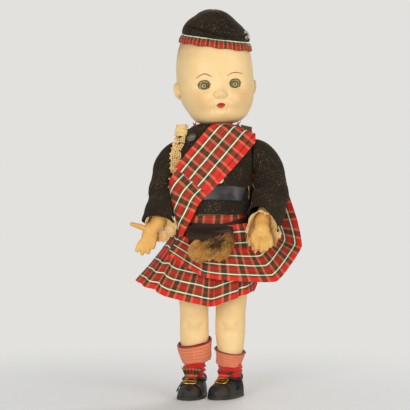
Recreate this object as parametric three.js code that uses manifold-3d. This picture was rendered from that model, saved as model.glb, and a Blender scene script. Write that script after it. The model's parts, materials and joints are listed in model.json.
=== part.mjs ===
import * as THREE from "three";
import { mergeVertices } from "three/addons/utils/BufferGeometryUtils.js";
import Module from "manifold-3d";

const wasm = await Module();
wasm.setup();

// Sizes are millimetres and angles are degrees. Right and left are the doll's own.

// Walls, cloth and gaps
const CLEARANCE = 0.4; // between pieces that touch
const CELLULOID = 1.6; // wall of the hollow shells
const FELT = 1.5; // jacket and cap cloth
const RIBBON = 0.8; // tartan ribbon
const RIBBON_WIDTH = 38.7;
const LACE = 0.8;
const LEATHER = 1.1; // belts and shoe uppers
const KNIT = 1; // socks
const ELASTIC_RADIUS = 1.8;
const KNOT_RADIUS = 4;
const WIRE_RADIUS = 1;

// Stance: where the body's axis stands so that the doll's box is centred on the origin
const BODY_X = -4.8;
const BODY_Y = 6.9;
const LEG_SPREAD = 18.2; // each leg's axis from the body's
const RIGHT_TOE_TURN = 14; // both feet turn toward the doll's right
const LEFT_TOE_TURN = 32;

// Torso
const HIP_HEIGHT = 165;
const SHOULDER_HEIGHT = 243;
const SHOULDER_HALF = 36.3; // flat face that each arm turns on
const CHEST_HALF = 38;
const WAIST_HALF = 33;
const TORSO_DEPTH = 26; // half depth at the waist
const TORSO_LEAN = 2.2; // sideways shift from the belt up
const TORSO_POWER = 2.3; // roundness of the cross-section
const CROTCH_HALF = 6.2; // half width of the body between the legs
const HIP_RADIUS = 21; // round top of each leg
const SHOULDER_RADIUS = 11.4; // round top of each arm

// Head
const HEAD_HALF_WIDTH = 38.4;
const HEAD_HALF_DEPTH = 40.5;
const HEAD_HALF_HEIGHT = 47.5; // skull centre to chin
const HEAD_TOP = 58; // skull centre to crown
const HEAD_POWER = 2.5; // roundness of the skull
const CHIN_RISE = 2.5; // lowest point of the skull above the neck pivot
const HEAD_LIFT = HEAD_HALF_HEIGHT + CHIN_RISE; // skull centre above the neck pivot
const HEAD_TURN = 8; // toward the doll's left
const HEAD_ROLL = 3.7; // toward the doll's right
const NECK_RADIUS = 13;
const NECK_RISE = 30; // neck pivot above the shoulder axis
const NECK_X = 5.7; // neck pivot beside the body's axis
const EYE_HALF_SPACING = 15.5;
const EYE_DROP = 10; // below the skull centre
const EYE_RADIUS = 7.5;
const EYE_OPENING = new THREE.Vector2(6, 4.4);
const EAR = new THREE.Vector3(4.6, 4.4, 9.4);
const NOSE = new THREE.Vector3(4.4, 5, 4.6);
const NOSE_DROP = 20; // below the skull centre

// Cap
const CAP_DROP = 21.2; // band below the top of the skull
const CAP_LIFT = HEAD_TOP - CAP_DROP; // band above the skull centre
const CAP_PITCH = 11; // forward
const CAP_ROLL = 9; // toward the doll's left
const BAND_HEIGHT = 8;
const CROWN_HEIGHT = 28.5;

// Clothes
const KILT_RISE = 19; // kilt waist above the hips
const KILT_TOP = HIP_HEIGHT + KILT_RISE;
const KILT_FALL = 75; // mean drop of the kilt
const JACKET_HEM = KILT_TOP + CLEARANCE;
const BELT_RISE = 41; // belt above the hips
const BELT_HEIGHT = HIP_HEIGHT + BELT_RISE;
const BELT_WIDTH = 14;
const BUCKLE_X = 34; // belt buckle toward the doll's left
const BUCKLE_HALF = 5;
const BUCKLE_BAR = 1.8;
const SASH_SLOPE = 52; // from level
const SASH_DROP = 16; // middle of the sash below the shoulders
const SASH_SHIFT = 17.2; // middle of the sash toward the doll's right
const UPPER_SLOPE = 50; // of the sash's second layer
const UPPER_SHIFT = -1;
const KILT_FOLD = 2.4; // depth of the pleats at the hem
const KILT_PLEATS = 12;
const SLEEVE_EASE = 3.1; // sleeve outside the arm at the shoulder
const CUFF_FLARE = 6;

// Legs and shoes
const KNEE_HEIGHT = 70;
const RIGHT_SOCK_TOP = 55;
const LEFT_SOCK_TOP = 49;
const SOCK_CUFF_DROP = 20;
const SHOE_LENGTH = 48;
const SHOE_HALF_WIDTH = 12.4;
const SHOE_HEIGHT = 25;
const HEEL_BACK = 15; // heel behind the leg's axis
const SOLE = 3;
const BUCKLE_FORWARD = 16.7; // middle of the shoe buckle in front of the leg's axis
const TONGUE_FORWARD = 11.9;

// Colour, roughness and metalness of each material
const FINISHES = {
  celluloid: [0xeccb92, 0.32, 0],
  glass: [0x6f6a38, 0.1, 0],
  plaster: [0xd9d2c2, 0.9, 0],
  wood: [0xb28a55, 0.7, 0],
  steel: [0x8c8c88, 0.4, 1],
  elastic: [0xd8cfb8, 0.85, 0],
  felt: [0x352c22, 0.95, 0],
  tartan: [0xb04a38, 0.8, 0],
  red: [0x8c2620, 0.8, 0],
  lace: [0xd9ab5f, 0.9, 0],
  white: [0xe8e4d8, 0.8, 0],
  leather: [0x3a342b, 0.45, 0],
  horn: [0x4a3120, 0.4, 0],
  gilt: [0xb48a3c, 0.35, 1],
  silver: [0xa9a49a, 0.35, 1],
  pearl: [0xe6ded0, 0.25, 0],
  fur: [0x7a4a22, 0.95, 0],
  sock: [0xb01c16, 0.95, 0],
  salmon: [0xd87f58, 0.95, 0],
};

const radians = THREE.MathUtils.degToRad;
const lerp = THREE.MathUtils.lerp;
const clamp = THREE.MathUtils.clamp;

function vec(x, y, z) {
  return new THREE.Vector3(x, y, z);
}

// Solids

function solidFrom(positions, index) {
  const make = (triangles) =>
    new wasm.Manifold(
      new wasm.Mesh({
        numProp: 3,
        vertProperties: new Float32Array(positions),
        triVerts: new Uint32Array(triangles),
      }),
    );
  const solid = make(index);
  return solid.volume() > 0 ? solid : make([...index].reverse());
}

function solidOf(geometry) {
  const bare = new THREE.BufferGeometry();
  bare.setAttribute("position", geometry.getAttribute("position"));
  bare.setIndex(geometry.getIndex());
  const merged = mergeVertices(bare, 1e-4);
  return solidFrom(merged.getAttribute("position").array, merged.getIndex().array);
}

function geometryOf(solid) {
  const mesh = solid.getMesh();
  const geometry = new THREE.BufferGeometry();
  geometry.setAttribute("position", new THREE.BufferAttribute(mesh.vertProperties, 3));
  geometry.setIndex(new THREE.BufferAttribute(mesh.triVerts, 1));
  geometry.computeVertexNormals();
  return geometry;
}

// Cuts can leave crumbs, so only the main body is kept.
function mainBody(solid) {
  return solid.decompose().reduce((best, each) => (each.volume() > best.volume() ? each : best));
}

// Closes a stack of equal rings into one solid with a fan at each end.
function loft(rings) {
  const count = rings[0].length;
  const points = rings.flat();
  const index = [];
  for (let i = 0; i + 1 < rings.length; i++) {
    for (let j = 0; j < count; j++) {
      const a = i * count + j;
      const b = i * count + ((j + 1) % count);
      index.push(a, b, b + count, a, b + count, a + count);
    }
  }
  for (const ring of [0, rings.length - 1]) {
    const centre = rings[ring].reduce((sum, p) => sum.add(p), vec(0, 0, 0)).divideScalar(count);
    points.push(centre);
    for (let j = 0; j < count; j++) {
      const a = ring * count + j;
      const b = ring * count + ((j + 1) % count);
      const c = points.length - 1;
      index.push(...(ring === 0 ? [c, b, a] : [c, a, b]));
    }
  }
  return solidFrom(points.flatMap((p) => p.toArray()), index);
}

// A thin sheet over the surface at(u, v); its thickness lies behind the surface.
function sheet(at, acrossU, acrossV, thickness, closed) {
  const columns = closed ? acrossU : acrossU + 1;
  const step = 1e-3;
  const front = [];
  const back = [];
  for (let j = 0; j <= acrossV; j++) {
    for (let i = 0; i < columns; i++) {
      const u = i / acrossU;
      const v = j / acrossV;
      const along = at(u + step, v).sub(at(u - step, v));
      const down = at(u, Math.min(v + step, 1)).sub(at(u, Math.max(v - step, 0)));
      const normal = along.cross(down).normalize();
      front.push(at(u, v));
      back.push(at(u, v).addScaledVector(normal, -thickness));
    }
  }
  const index = [];
  const size = front.length;
  const quad = (a, b, c, d) => index.push(a, b, c, a, c, d);
  for (let j = 0; j < acrossV; j++) {
    for (let i = 0; i < acrossU; i++) {
      const a = j * columns + i;
      const b = j * columns + ((i + 1) % columns);
      quad(a, a + columns, b + columns, b);
      quad(size + a, size + b, size + b + columns, size + a + columns);
    }
  }
  for (let i = 0; i < acrossU; i++) {
    const b = (i + 1) % columns;
    const last = acrossV * columns;
    quad(i, b, size + b, size + i);
    quad(last + b, last + i, size + last + i, size + last + b);
  }
  for (let j = 0; j < acrossV && !closed; j++) {
    const a = j * columns;
    const b = a + columns - 1;
    quad(a + columns, a, size + a, size + a + columns);
    quad(b, b + columns, size + b + columns, size + b);
  }
  return solidFrom([...front, ...back].flatMap((p) => p.toArray()), index);
}

function box(low, high) {
  const size = high.clone().sub(low);
  const middle = low.clone().add(high).divideScalar(2);
  return solidOf(new THREE.BoxGeometry(size.x, size.y, size.z).translate(...middle.toArray()));
}

function ellipsoid(centre, radii, around, rings) {
  const ball = new THREE.SphereGeometry(1, around, rings);
  ball.rotateX(Math.PI / 2);
  ball.scale(radii.x, radii.y, radii.z);
  return solidOf(ball.translate(centre.x, centre.y, centre.z));
}

function ball(centre, radius, around = 10, rings = 7) {
  return ellipsoid(centre, vec(radius, radius, radius), around, rings);
}

function rodZ(centre, radius, height, sides = 20) {
  const rod = new THREE.CylinderGeometry(radius, radius, height, sides).rotateX(Math.PI / 2);
  return solidOf(rod.translate(centre.x, centre.y, centre.z));
}

function rodX(from, to, height, radius, sides = 20) {
  const rod = new THREE.CylinderGeometry(radius, radius, to - from, sides).rotateZ(Math.PI / 2);
  return solidOf(rod.translate((from + to) / 2, 0, height));
}

// Turns a profile of [radius, distance] pairs about the X axis.
function turnedX(profile, sides) {
  const points = profile.map(([r, s]) => new THREE.Vector2(r, s));
  return solidOf(new THREE.LatheGeometry(points, sides).rotateZ(-Math.PI / 2));
}

function capsule(from, to, radius) {
  const along = to.clone().sub(from);
  const body = new THREE.CapsuleGeometry(radius, along.length(), 2, 6);
  const turn = new THREE.Quaternion().setFromUnitVectors(vec(0, 1, 0), along.normalize());
  body.applyQuaternion(turn);
  const middle = from.clone().add(to).divideScalar(2);
  return solidOf(body.translate(middle.x, middle.y, middle.z));
}

function wire(points, radius) {
  const circle = new THREE.Shape().absarc(0, 0, radius, 0, 2 * Math.PI);
  const path = new THREE.CatmullRomCurve3(points);
  return solidOf(
    new THREE.ExtrudeGeometry(circle, {
      steps: 9,
      curveSegments: 3,
      bevelEnabled: false,
      extrudePath: path,
    }),
  );
}

function keepAbove(solid, height) {
  return solid.trimByPlane([0, 0, 1], height);
}

function keepBelow(solid, height) {
  return solid.trimByPlane([0, 0, -1], -height);
}

function signedPower(value, power) {
  return Math.sign(value) * Math.abs(value) ** power;
}

function superRing(centre, halfX, halfY, power, count) {
  const ring = [];
  for (let j = 0; j < count; j++) {
    const angle = (2 * Math.PI * j) / count;
    const x = halfX * signedPower(Math.cos(angle), 2 / power);
    const y = halfY * signedPower(Math.sin(angle), 2 / power);
    ring.push(vec(centre.x + x, centre.y + y, centre.z));
  }
  return ring;
}

// Value at place t of a list of [place, value, ...] rows, with the columns blended.
function along(rows, t) {
  const last = rows.length - 1;
  let i = 0;
  while (i < last - 1 && t > rows[i + 1][0]) i++;
  const share = clamp((t - rows[i][0]) / (rows[i + 1][0] - rows[i][0]), 0, 1);
  return rows[i].map((value, k) => lerp(value, rows[i + 1][k], share));
}

// Torso and the clothes cut to it

const TORSO_TOP = SHOULDER_HEIGHT + NECK_RISE - 3;

// Height, half width, half depth
const TORSO = [
  [HIP_HEIGHT - 15.3, 21, 18],
  [HIP_HEIGHT - 8.5, 29, TORSO_DEPTH - 3],
  [HIP_HEIGHT + 5.1, WAIST_HALF + 1.5, TORSO_DEPTH],
  [lerp(HIP_HEIGHT, SHOULDER_HEIGHT, 0.27), WAIST_HALF, TORSO_DEPTH],
  [lerp(HIP_HEIGHT, SHOULDER_HEIGHT, 0.51), WAIST_HALF + 1, TORSO_DEPTH],
  [lerp(HIP_HEIGHT, SHOULDER_HEIGHT, 0.76), WAIST_HALF + 1.2, TORSO_DEPTH],
  [SHOULDER_HEIGHT + 2, CHEST_HALF, TORSO_DEPTH - 1.5],
  [SHOULDER_HEIGHT + 13, CHEST_HALF - 1.5, TORSO_DEPTH - 4],
  [TORSO_TOP - 6, CHEST_HALF - 7, TORSO_DEPTH - 7.5],
  [TORSO_TOP, NECK_RADIUS + 8, NECK_RADIUS + 3.5],
];
const TORSO_SIDES = 16;

function leanAt(height) {
  return TORSO_LEAN * clamp((height - HIP_HEIGHT) / BELT_RISE, 0, 1);
}

function torsoStation(i, grow) {
  const [level, halfX, halfY] = TORSO[i];
  const before = TORSO[Math.max(i - 1, 0)];
  const after = TORSO[Math.min(i + 1, TORSO.length - 1)];
  const slope = new THREE.Vector2(after[0] - before[0], before[1] - after[1]).normalize();
  const height = level + (i > 0 ? grow * slope.y : 0);
  return { height, halfX: halfX + grow * slope.x, halfY: halfY + grow * slope.x };
}

function torsoLoft(grow, sides = TORSO_SIDES) {
  const rings = TORSO.map((_, i) => {
    const { height, halfX, halfY } = torsoStation(i, grow);
    return superRing(vec(leanAt(height), 0, height), halfX, halfY, TORSO_POWER, sides);
  });
  return loft(rings);
}

// Point on the torso grown outward, at an angle from the doll's left toward its front.
function torsoPoint(angle, height, grow) {
  const stations = TORSO.map((_, i) => torsoStation(i, grow));
  const rows = stations.map((s) => [s.height, s.halfX, s.halfY]);
  const [, halfX, halfY] = along(rows, height);
  const x = halfX * signedPower(Math.cos(angle), 2 / TORSO_POWER);
  const y = -halfY * signedPower(Math.sin(angle), 2 / TORSO_POWER);
  return vec(leanAt(height) + x, y, height);
}

const SHOULDER_X = leanAt(SHOULDER_HEIGHT);
const ARM_PLANE = SHOULDER_HALF + CLEARANCE;
const JACKET_PLANE = ARM_PLANE + FELT;
const SLEEVE_PLANE = JACKET_PLANE + CLEARANCE;
const NECK = vec(NECK_X, 0, SHOULDER_HEIGHT + NECK_RISE);

// What is cut off a torso layer beside each shoulder.
function shoulderSides(half) {
  const low = SHOULDER_HEIGHT - SHOULDER_RADIUS - 9;
  const high = TORSO_TOP + 40;
  const right = box(vec(-90, -60, low), vec(SHOULDER_X - half, 60, high));
  const left = box(vec(SHOULDER_X + half, -60, low), vec(90, 60, high));
  return right.add(left);
}

// Room for the two legs, grown into the body to find its inner wall.
function hipRoom(grow) {
  const half = CROTCH_HALF - grow;
  const radius = HIP_RADIUS + CLEARANCE + grow;
  const low = HIP_HEIGHT - 40;
  const high = HIP_HEIGHT + HIP_RADIUS / 2 + grow;
  const left = box(vec(half, -60, low), vec(60, 60, high)).add(rodX(half, 60, HIP_HEIGHT, radius));
  return left.add(left.mirror([1, 0, 0]));
}

function torsoShell() {
  const hollow = keepBelow(torsoLoft(-CELLULOID, 12), SHOULDER_HEIGHT + 13)
    .subtract(hipRoom(CELLULOID))
    .subtract(shoulderSides(SHOULDER_HALF - CELLULOID));
  const seat = ball(NECK, NECK_RADIUS + 2 * CLEARANCE, 14, 8);
  const hole = ELASTIC_RADIUS + 2;
  return torsoLoft(0)
    .subtract(hipRoom(0))
    .subtract(shoulderSides(SHOULDER_HALF))
    .subtract(hollow)
    .subtract(seat)
    .subtract(rodZ(vec(NECK.x, 0, SHOULDER_HEIGHT + 19), NECK_RADIUS / 2, 30, 14))
    .subtract(rodX(-70, 70, SHOULDER_HEIGHT, hole, 12))
    .subtract(rodX(-70, 70, HIP_HEIGHT, hole, 12));
}

function armholes() {
  return rodX(-70, 70, SHOULDER_HEIGHT, SHOULDER_RADIUS + CLEARANCE, 14);
}

function jacketBody() {
  const inner = CLEARANCE;
  const opening = rodZ(vec(NECK.x, 0, TORSO_TOP + 8), NECK_RADIUS + 2.4, 24, 14);
  return keepAbove(torsoLoft(inner + FELT).subtract(torsoLoft(inner)), JACKET_HEM)
    .subtract(shoulderSides(JACKET_PLANE))
    .subtract(opening)
    .subtract(armholes());
}

// Heights of the layers over the jacket
const JACKET_TOP = CLEARANCE + FELT;
const BELT_TOP = JACKET_TOP + CLEARANCE + LEATHER;
const SASH_TOP = BELT_TOP + CLEARANCE + RIBBON;
const SASH_UPPER_TOP = SASH_TOP + CLEARANCE + RIBBON;

function layer(top, thickness) {
  return torsoLoft(top).subtract(torsoLoft(top - thickness));
}

function waistBelt() {
  const low = BELT_HEIGHT - BELT_WIDTH / 2;
  return keepBelow(keepAbove(layer(BELT_TOP, LEATHER), low), low + BELT_WIDTH).subtract(armholes());
}

function sashMiddle(shift) {
  return vec(SHOULDER_X - SASH_SHIFT + shift, 0, SHOULDER_HEIGHT - SASH_DROP);
}

// The slab of space that a ribbon across the chest fills.
function sashSlab(slope, from, to, shift) {
  const slab = new THREE.BoxGeometry(to - from, 140, RIBBON_WIDTH);
  slab.translate((from + to) / 2, 0, 0).rotateY(-radians(slope));
  return solidOf(slab.translate(...sashMiddle(shift).toArray()));
}

// What of a solid lies clear of the sash, on its upper side.
function aboveSash(solid, slope, shift) {
  const normal = vec(-Math.sin(radians(slope)), 0, Math.cos(radians(slope)));
  const edge = normal.dot(sashMiddle(shift)) + RIBBON_WIDTH / 2 + CLEARANCE;
  return solid.trimByPlane(normal.toArray(), edge);
}

function shoulderRoom() {
  const radius = SHOULDER_RADIUS + SLEEVE_EASE + 1.4;
  const right = rodX(SHOULDER_X - 70, SHOULDER_X - SHOULDER_HALF + 4, SHOULDER_HEIGHT, radius);
  const left = rodX(SHOULDER_X + SHOULDER_HALF - 4, SHOULDER_X + 70, SHOULDER_HEIGHT, radius);
  return right.add(left);
}

function neckRoom() {
  return rodZ(vec(NECK.x, 0, TORSO_TOP + 8), NECK_RADIUS + 6.5, 28, 12);
}

function sashLower(sleeves) {
  const band = keepAbove(layer(SASH_TOP, RIBBON), JACKET_HEM + CLEARANCE)
    .intersect(sashSlab(SASH_SLOPE, -120, 120, 0))
    .subtract(shoulderSides(JACKET_PLANE))
    .subtract(shoulderRoom())
    .subtract(neckRoom())
    .subtract(buckleBlock(-CLEARANCE));
  return mainBody(band.subtract(sleeves));
}

function sashUpper(sleeves) {
  const band = layer(SASH_UPPER_TOP, RIBBON)
    .intersect(sashSlab(UPPER_SLOPE, -10, 120, UPPER_SHIFT))
    .subtract(shoulderSides(JACKET_PLANE))
    .subtract(shoulderRoom())
    .subtract(neckRoom())
    .trimByPlane([0, -1, 0], 3);
  return mainBody(band.subtract(sleeves));
}

function jabotLace() {
  const top = SHOULDER_HEIGHT + 28;
  const bottom = SHOULDER_HEIGHT - 29;
  const at = (u, v) => {
    const angle = radians(lerp(158, 139, u));
    const ruffle = 0.8 * Math.sin(v * 14 * Math.PI) * (1 - u);
    return torsoPoint(angle, lerp(top, bottom, v), JACKET_TOP + 2.6 + ruffle);
  };
  const strip = sheet((u, v) => at(1 - u, v), 2, 12, LACE, false)
    .subtract(torsoLoft(JACKET_TOP + CLEARANCE))
    .trimByPlane([1, 0, 0], SHOULDER_X - SLEEVE_PLANE + CLEARANCE);
  return mainBody(aboveSash(aboveSash(strip, SASH_SLOPE, 0), UPPER_SLOPE, UPPER_SHIFT));
}

function neckRibbon() {
  const inner = NECK_RADIUS + 2 * CLEARANCE + 2;
  const low = TORSO_TOP + CLEARANCE;
  const profile = [
    [inner, low],
    [inner + 3, low - 0.6],
    [inner + 3.4, low + 0.6],
    [inner + 1, low + 3],
    [inner, low + 3],
    [inner, low],
  ];
  const points = profile.map(([r, z]) => new THREE.Vector2(r, z));
  const ring = solidOf(new THREE.LatheGeometry(points, 12).rotateX(Math.PI / 2));
  return mainBody(ring.translate([NECK.x, 0, 0]).subtract(torsoLoft(JACKET_TOP + CLEARANCE)));
}

// A domed disc standing on a torso layer.
function discOn(angle, height, grow, rise, radius, thick) {
  const outward = vec(Math.cos(angle), -Math.sin(angle), rise).normalize();
  const seat = torsoPoint(angle, height, grow);
  const profile = [
    [0, 0],
    [radius, 0],
    [radius, thick * 0.6],
    [radius * 0.7, thick],
    [0, thick],
  ];
  const points = profile.map(([r, s]) => new THREE.Vector2(r, s));
  const disc = new THREE.LatheGeometry(points, 11);
  disc.applyQuaternion(new THREE.Quaternion().setFromUnitVectors(vec(0, 1, 0), outward));
  return solidOf(disc.translate(seat.x, seat.y, seat.z));
}

function collarButton() {
  return discOn(radians(125), SHOULDER_HEIGHT + 18, JACKET_TOP + 2 * CLEARANCE, 0.7, 4.8, 2);
}

// The pearl button lies flat under the sash.
function pearlButton() {
  const disc = discOn(radians(84), BELT_HEIGHT + BELT_WIDTH / 2 + 6, JACKET_TOP + CLEARANCE, 0, 3.6, 0.9);
  return disc.intersect(torsoLoft(BELT_TOP));
}

function plaidBrooch() {
  return discOn(radians(30), SHOULDER_HEIGHT + 26, SASH_UPPER_TOP + 1.2 * CLEARANCE, 1.6, 4.6, 2.4);
}

// A block of space over the front of the belt where its buckle sits.
function buckleBlock(inset) {
  const half = BUCKLE_HALF - inset;
  const halfHeight = BELT_WIDTH / 2 + 1 - inset;
  const low = vec(BUCKLE_X - half, -60, BELT_HEIGHT - halfHeight);
  return box(low, vec(BUCKLE_X + half, 0, BELT_HEIGHT + halfHeight));
}

function beltBuckle() {
  const outside = layer(BELT_TOP + CLEARANCE + 1.2, 1.2);
  return outside.intersect(buckleBlock(0)).subtract(buckleBlock(BUCKLE_BAR));
}

// Kilt

const KILT_STEPS = 3 * KILT_PLEATS;

// Share of the fall from the waist, share of the flare
const KILT_FLARE = [
  [0, 0],
  [0.25, 0.14],
  [0.5, 0.38],
  [0.75, 0.67],
  [1, 1],
];
const HEM_CENTRE = new THREE.Vector2(-16, -2);
const HEM_HALF = new THREE.Vector2(62, 40);

function kiltHemHeight(angle) {
  const level = KILT_TOP - KILT_FALL - 5 * Math.cos(angle) - 8.5 * Math.sin(angle);
  return level + 6 * Math.cos(2 * angle);
}

// Point on the kilt, u round from the doll's left by its front, v down from the waist.
function kiltPoint(u, v, grow) {
  const angle = 2 * Math.PI * u;
  const [, waistX, waistY] = along(TORSO, KILT_TOP);
  const ease = CLEARANCE + RIBBON + grow;
  const phase = (u * KILT_PLEATS) % 1;
  const wave = Math.abs(2 * (phase < 0 ? phase + 1 : phase) - 1) - 0.5;
  const fold = 2 * KILT_FOLD * wave * v;
  const flare = along(KILT_FLARE, v)[1];
  const power = 2 / lerp(TORSO_POWER, 2, v);
  const halfX = lerp(waistX + ease, HEM_HALF.x + grow + fold, flare);
  const halfY = lerp(waistY + ease, HEM_HALF.y + grow + fold, flare);
  const x = lerp(leanAt(KILT_TOP), HEM_CENTRE.x, flare) + halfX * signedPower(Math.cos(angle), power);
  const y = lerp(0, HEM_CENTRE.y, flare) - halfY * signedPower(Math.sin(angle), power);
  return vec(x, y, lerp(KILT_TOP, kiltHemHeight(angle), v));
}

function kilt() {
  return sheet((u, v) => kiltPoint(u, v, 0), KILT_STEPS, KILT_FLARE.length - 1, RIBBON, true);
}

// A band round the kilt between two shares of its fall.
function kiltBand(from, to, lift, thickness) {
  return sheet((u, v) => kiltPoint(u, lerp(from, to, v), lift + thickness), KILT_STEPS, 1, thickness, true);
}

const PLAID_SEAT = SASH_UPPER_TOP + RIBBON + 2.2 * CLEARANCE;

function onShoulder(angle, rise) {
  return torsoPoint(radians(angle), SHOULDER_HEIGHT + rise, PLAID_SEAT);
}

function fromShoulder(x, y, rise) {
  return vec(x, y, SHOULDER_HEIGHT + rise);
}

function fromHip(x, y, rise) {
  return vec(x, y, HIP_HEIGHT + rise);
}

// Edges of the plaid ribbon from the shoulder round the hip: outer then inner.
const PLAID = [
  [onShoulder(-30, 19), onShoulder(-80, 23)],
  [fromShoulder(46, 31, 13), fromShoulder(12, 32, 15)],
  [fromShoulder(60, 30, -7), fromShoulder(24, 35, -11)],
  [fromHip(78, 27, 43), fromHip(41, 34, 35)],
  [fromHip(88, 22, 13), fromHip(50, 27, 11)],
  [fromHip(92, 14, -13), fromHip(56, 8, 1)],
  [fromHip(80, -8, -30), fromHip(51, -8, -5)],
  [fromHip(63, -31, -47), fromHip(43, -24, -14)],
  [fromHip(26, -43, -46), fromHip(20, -35, -14)],
  [fromHip(-9, -44, -42), fromHip(-5, -36, -13)],
  [fromHip(-46, -36, -19), fromHip(-31, -31.5, -1)],
];

function plaidTail() {
  const outer = new THREE.CatmullRomCurve3(PLAID.map(([a]) => a), false, "centripetal");
  const inner = new THREE.CatmullRomCurve3(PLAID.map(([, b]) => b), false, "centripetal");
  const place = (t) => clamp(t, 0, 1);
  const at = (u, v) => inner.getPoint(place(v)).lerp(outer.getPoint(place(v)), u);
  return sheet(at, 2, 30, RIBBON, false);
}

// Sporran, in its own frame: hinge line at the origin

const SPORRAN = vec(-2.5, -30.4, KILT_TOP - 12);
const SPORRAN_TILT = 20; // it leans out over the plaid
const FLAP = vec(45, 3.5, 17);
const POUCH = vec(46, 11, 27);

function sporranFlap() {
  const shape = new THREE.Shape();
  const half = FLAP.x / 2;
  shape.moveTo(-half + 2, 0);
  shape.lineTo(half - 2, 0);
  shape.lineTo(half, -FLAP.z * 0.35);
  shape.quadraticCurveTo(half * 0.9, -FLAP.z, half * 0.4, -FLAP.z);
  shape.lineTo(-half * 0.4, -FLAP.z);
  shape.quadraticCurveTo(-half * 0.9, -FLAP.z, -half, -FLAP.z * 0.35);
  const flap = new THREE.ExtrudeGeometry(shape, {
    depth: FLAP.y - 1,
    curveSegments: 5,
    bevelThickness: 0.5,
    bevelSize: 0.5,
    bevelOffset: -0.5,
    bevelSegments: 1,
  });
  flap.rotateX(Math.PI / 2).translate(0, -0.5, 0);
  return solidOf(flap);
}

function sporranPouch() {
  const rings = [];
  const steps = 6;
  for (let i = 0; i <= steps; i++) {
    const t = i / steps;
    const bulge = Math.sin(Math.PI * lerp(0.2, 0.94, t)) ** 0.55;
    const middle = vec(0, -FLAP.y - CLEARANCE - POUCH.y / 2, -FLAP.z * 0.6 - t * POUCH.z);
    rings.push(superRing(middle, (POUCH.x / 2) * bulge, (POUCH.y / 2) * bulge, 2.6, 14));
  }
  return loft(rings);
}

// Arms

// Outward from the shoulder plane, forward, up; then the radius of the arm and how far the
// sleeve stands off it. The last row is the wrist, bare of the sleeve.
const RIGHT_ARM = [
  [6, 0, 0, 9.2, 0],
  [13.5, -3, -16, 9.4, 0.2],
  [17.5, -8, -35, 9.4, 0.6],
  [18.5, -15, -54, 8.8, 2.4],
  [20.5, -19, -65, 8, 3.6],
  [26, -22, -73, 6.6, 3.6],
];
const LEFT_ARM = [
  [7, 0, 0, 9.2, 0.4],
  [15, -1, -12, 9.4, 1.4],
  [18.8, -4, -30, 9.4, 3],
  [17.5, -15, -49, 9, 5],
  [11.3, -28, -63, 8, 5],
  [10.3, -34, -70, 7, 5],
];
const ARM_SIDES = 10;

// Tube round a bent centreline of [x, y, z, radius] rows.
function limb(rows, grow, overrun, sides = ARM_SIDES) {
  const path = new THREE.CatmullRomCurve3(rows.map(([x, y, z]) => vec(x, y, z)));
  const steps = 7;
  const rings = [];
  for (let i = 0; i <= steps + 1; i++) {
    const t = Math.min(i / steps, 1);
    const centre = path.getPoint(t);
    const tangent = path.getTangent(t);
    if (i > steps) centre.addScaledVector(tangent, overrun);
    const side = vec(0, 1, 0).addScaledVector(tangent, -tangent.y).normalize();
    const across = tangent.clone().cross(side);
    const radii = rows.map((row, k) => [k / (rows.length - 1), row[3]]);
    const radius = along(radii, t)[1] + grow;
    const ring = [];
    for (let j = 0; j < sides; j++) {
      const angle = (2 * Math.PI * j) / sides;
      const out = side.clone().multiplyScalar(Math.cos(angle) * radius);
      ring.push(out.addScaledVector(across, Math.sin(angle) * radius).add(centre));
    }
    rings.push(ring);
  }
  return loft(rings);
}

// Rounded root that turns on the shoulder axis, from the given plane outward.
function armRoot(plane, radius, reach, sides = 12) {
  const profile = [
    [0, plane],
    [radius, plane],
    [radius, plane + reach * 0.35],
    [radius * 0.86, plane + reach * 0.7],
    [radius * 0.5, plane + reach * 0.93],
    [0, plane + reach],
  ];
  return turnedX(profile, sides);
}

// Arms are made in the frame of the shoulder, x outward from the torso's flat face.
const ARM_REACH = 17;
const ROOT = ARM_PLANE - SHOULDER_HALF;

function armSolid(rows, grow) {
  const tube = limb(rows, grow, 0.5).trimByPlane([1, 0, 0], SLEEVE_PLANE - SHOULDER_HALF + CLEARANCE);
  return armRoot(ROOT, SHOULDER_RADIUS + grow, ARM_REACH + grow).add(tube);
}

function armShell(rows, hand) {
  const plane = ROOT + CELLULOID;
  const hollow = armRoot(plane, SHOULDER_RADIUS - CELLULOID, ARM_REACH - 2 * CELLULOID, 10).add(
    limb(rows.slice(0, 4), -CELLULOID, 0.5, 8).trimByPlane([1, 0, 0], SLEEVE_PLANE - SHOULDER_HALF + 2),
  );
  return armSolid(rows, 0)
    .add(hand)
    .subtract(hollow)
    .subtract(rodX(-5, 6, 0, ELASTIC_RADIUS + 1, 10));
}

function sleeveSolid(armRows, inset, overrun) {
  const rows = armRows.slice(0, -1).map(([x, y, z, r, ease]) => [x, y, z, r + SLEEVE_EASE + ease]);
  const plane = SLEEVE_PLANE - SHOULDER_HALF;
  const radius = SHOULDER_RADIUS + SLEEVE_EASE - inset;
  const root = armRoot(plane, radius, ARM_REACH + 2 - inset);
  return root.add(limb(rows, -inset, overrun).trimByPlane([1, 0, 0], plane));
}

function sleeve(rows) {
  const plane = SLEEVE_PLANE - SHOULDER_HALF;
  const inner = sleeveSolid(rows, FELT, 6).add(
    rodX(plane - 4, plane + 1, 0, SHOULDER_RADIUS + SLEEVE_EASE - FELT, 24),
  );
  return mainBody(sleeveSolid(rows, 0, 0.5).subtract(inner));
}

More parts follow.
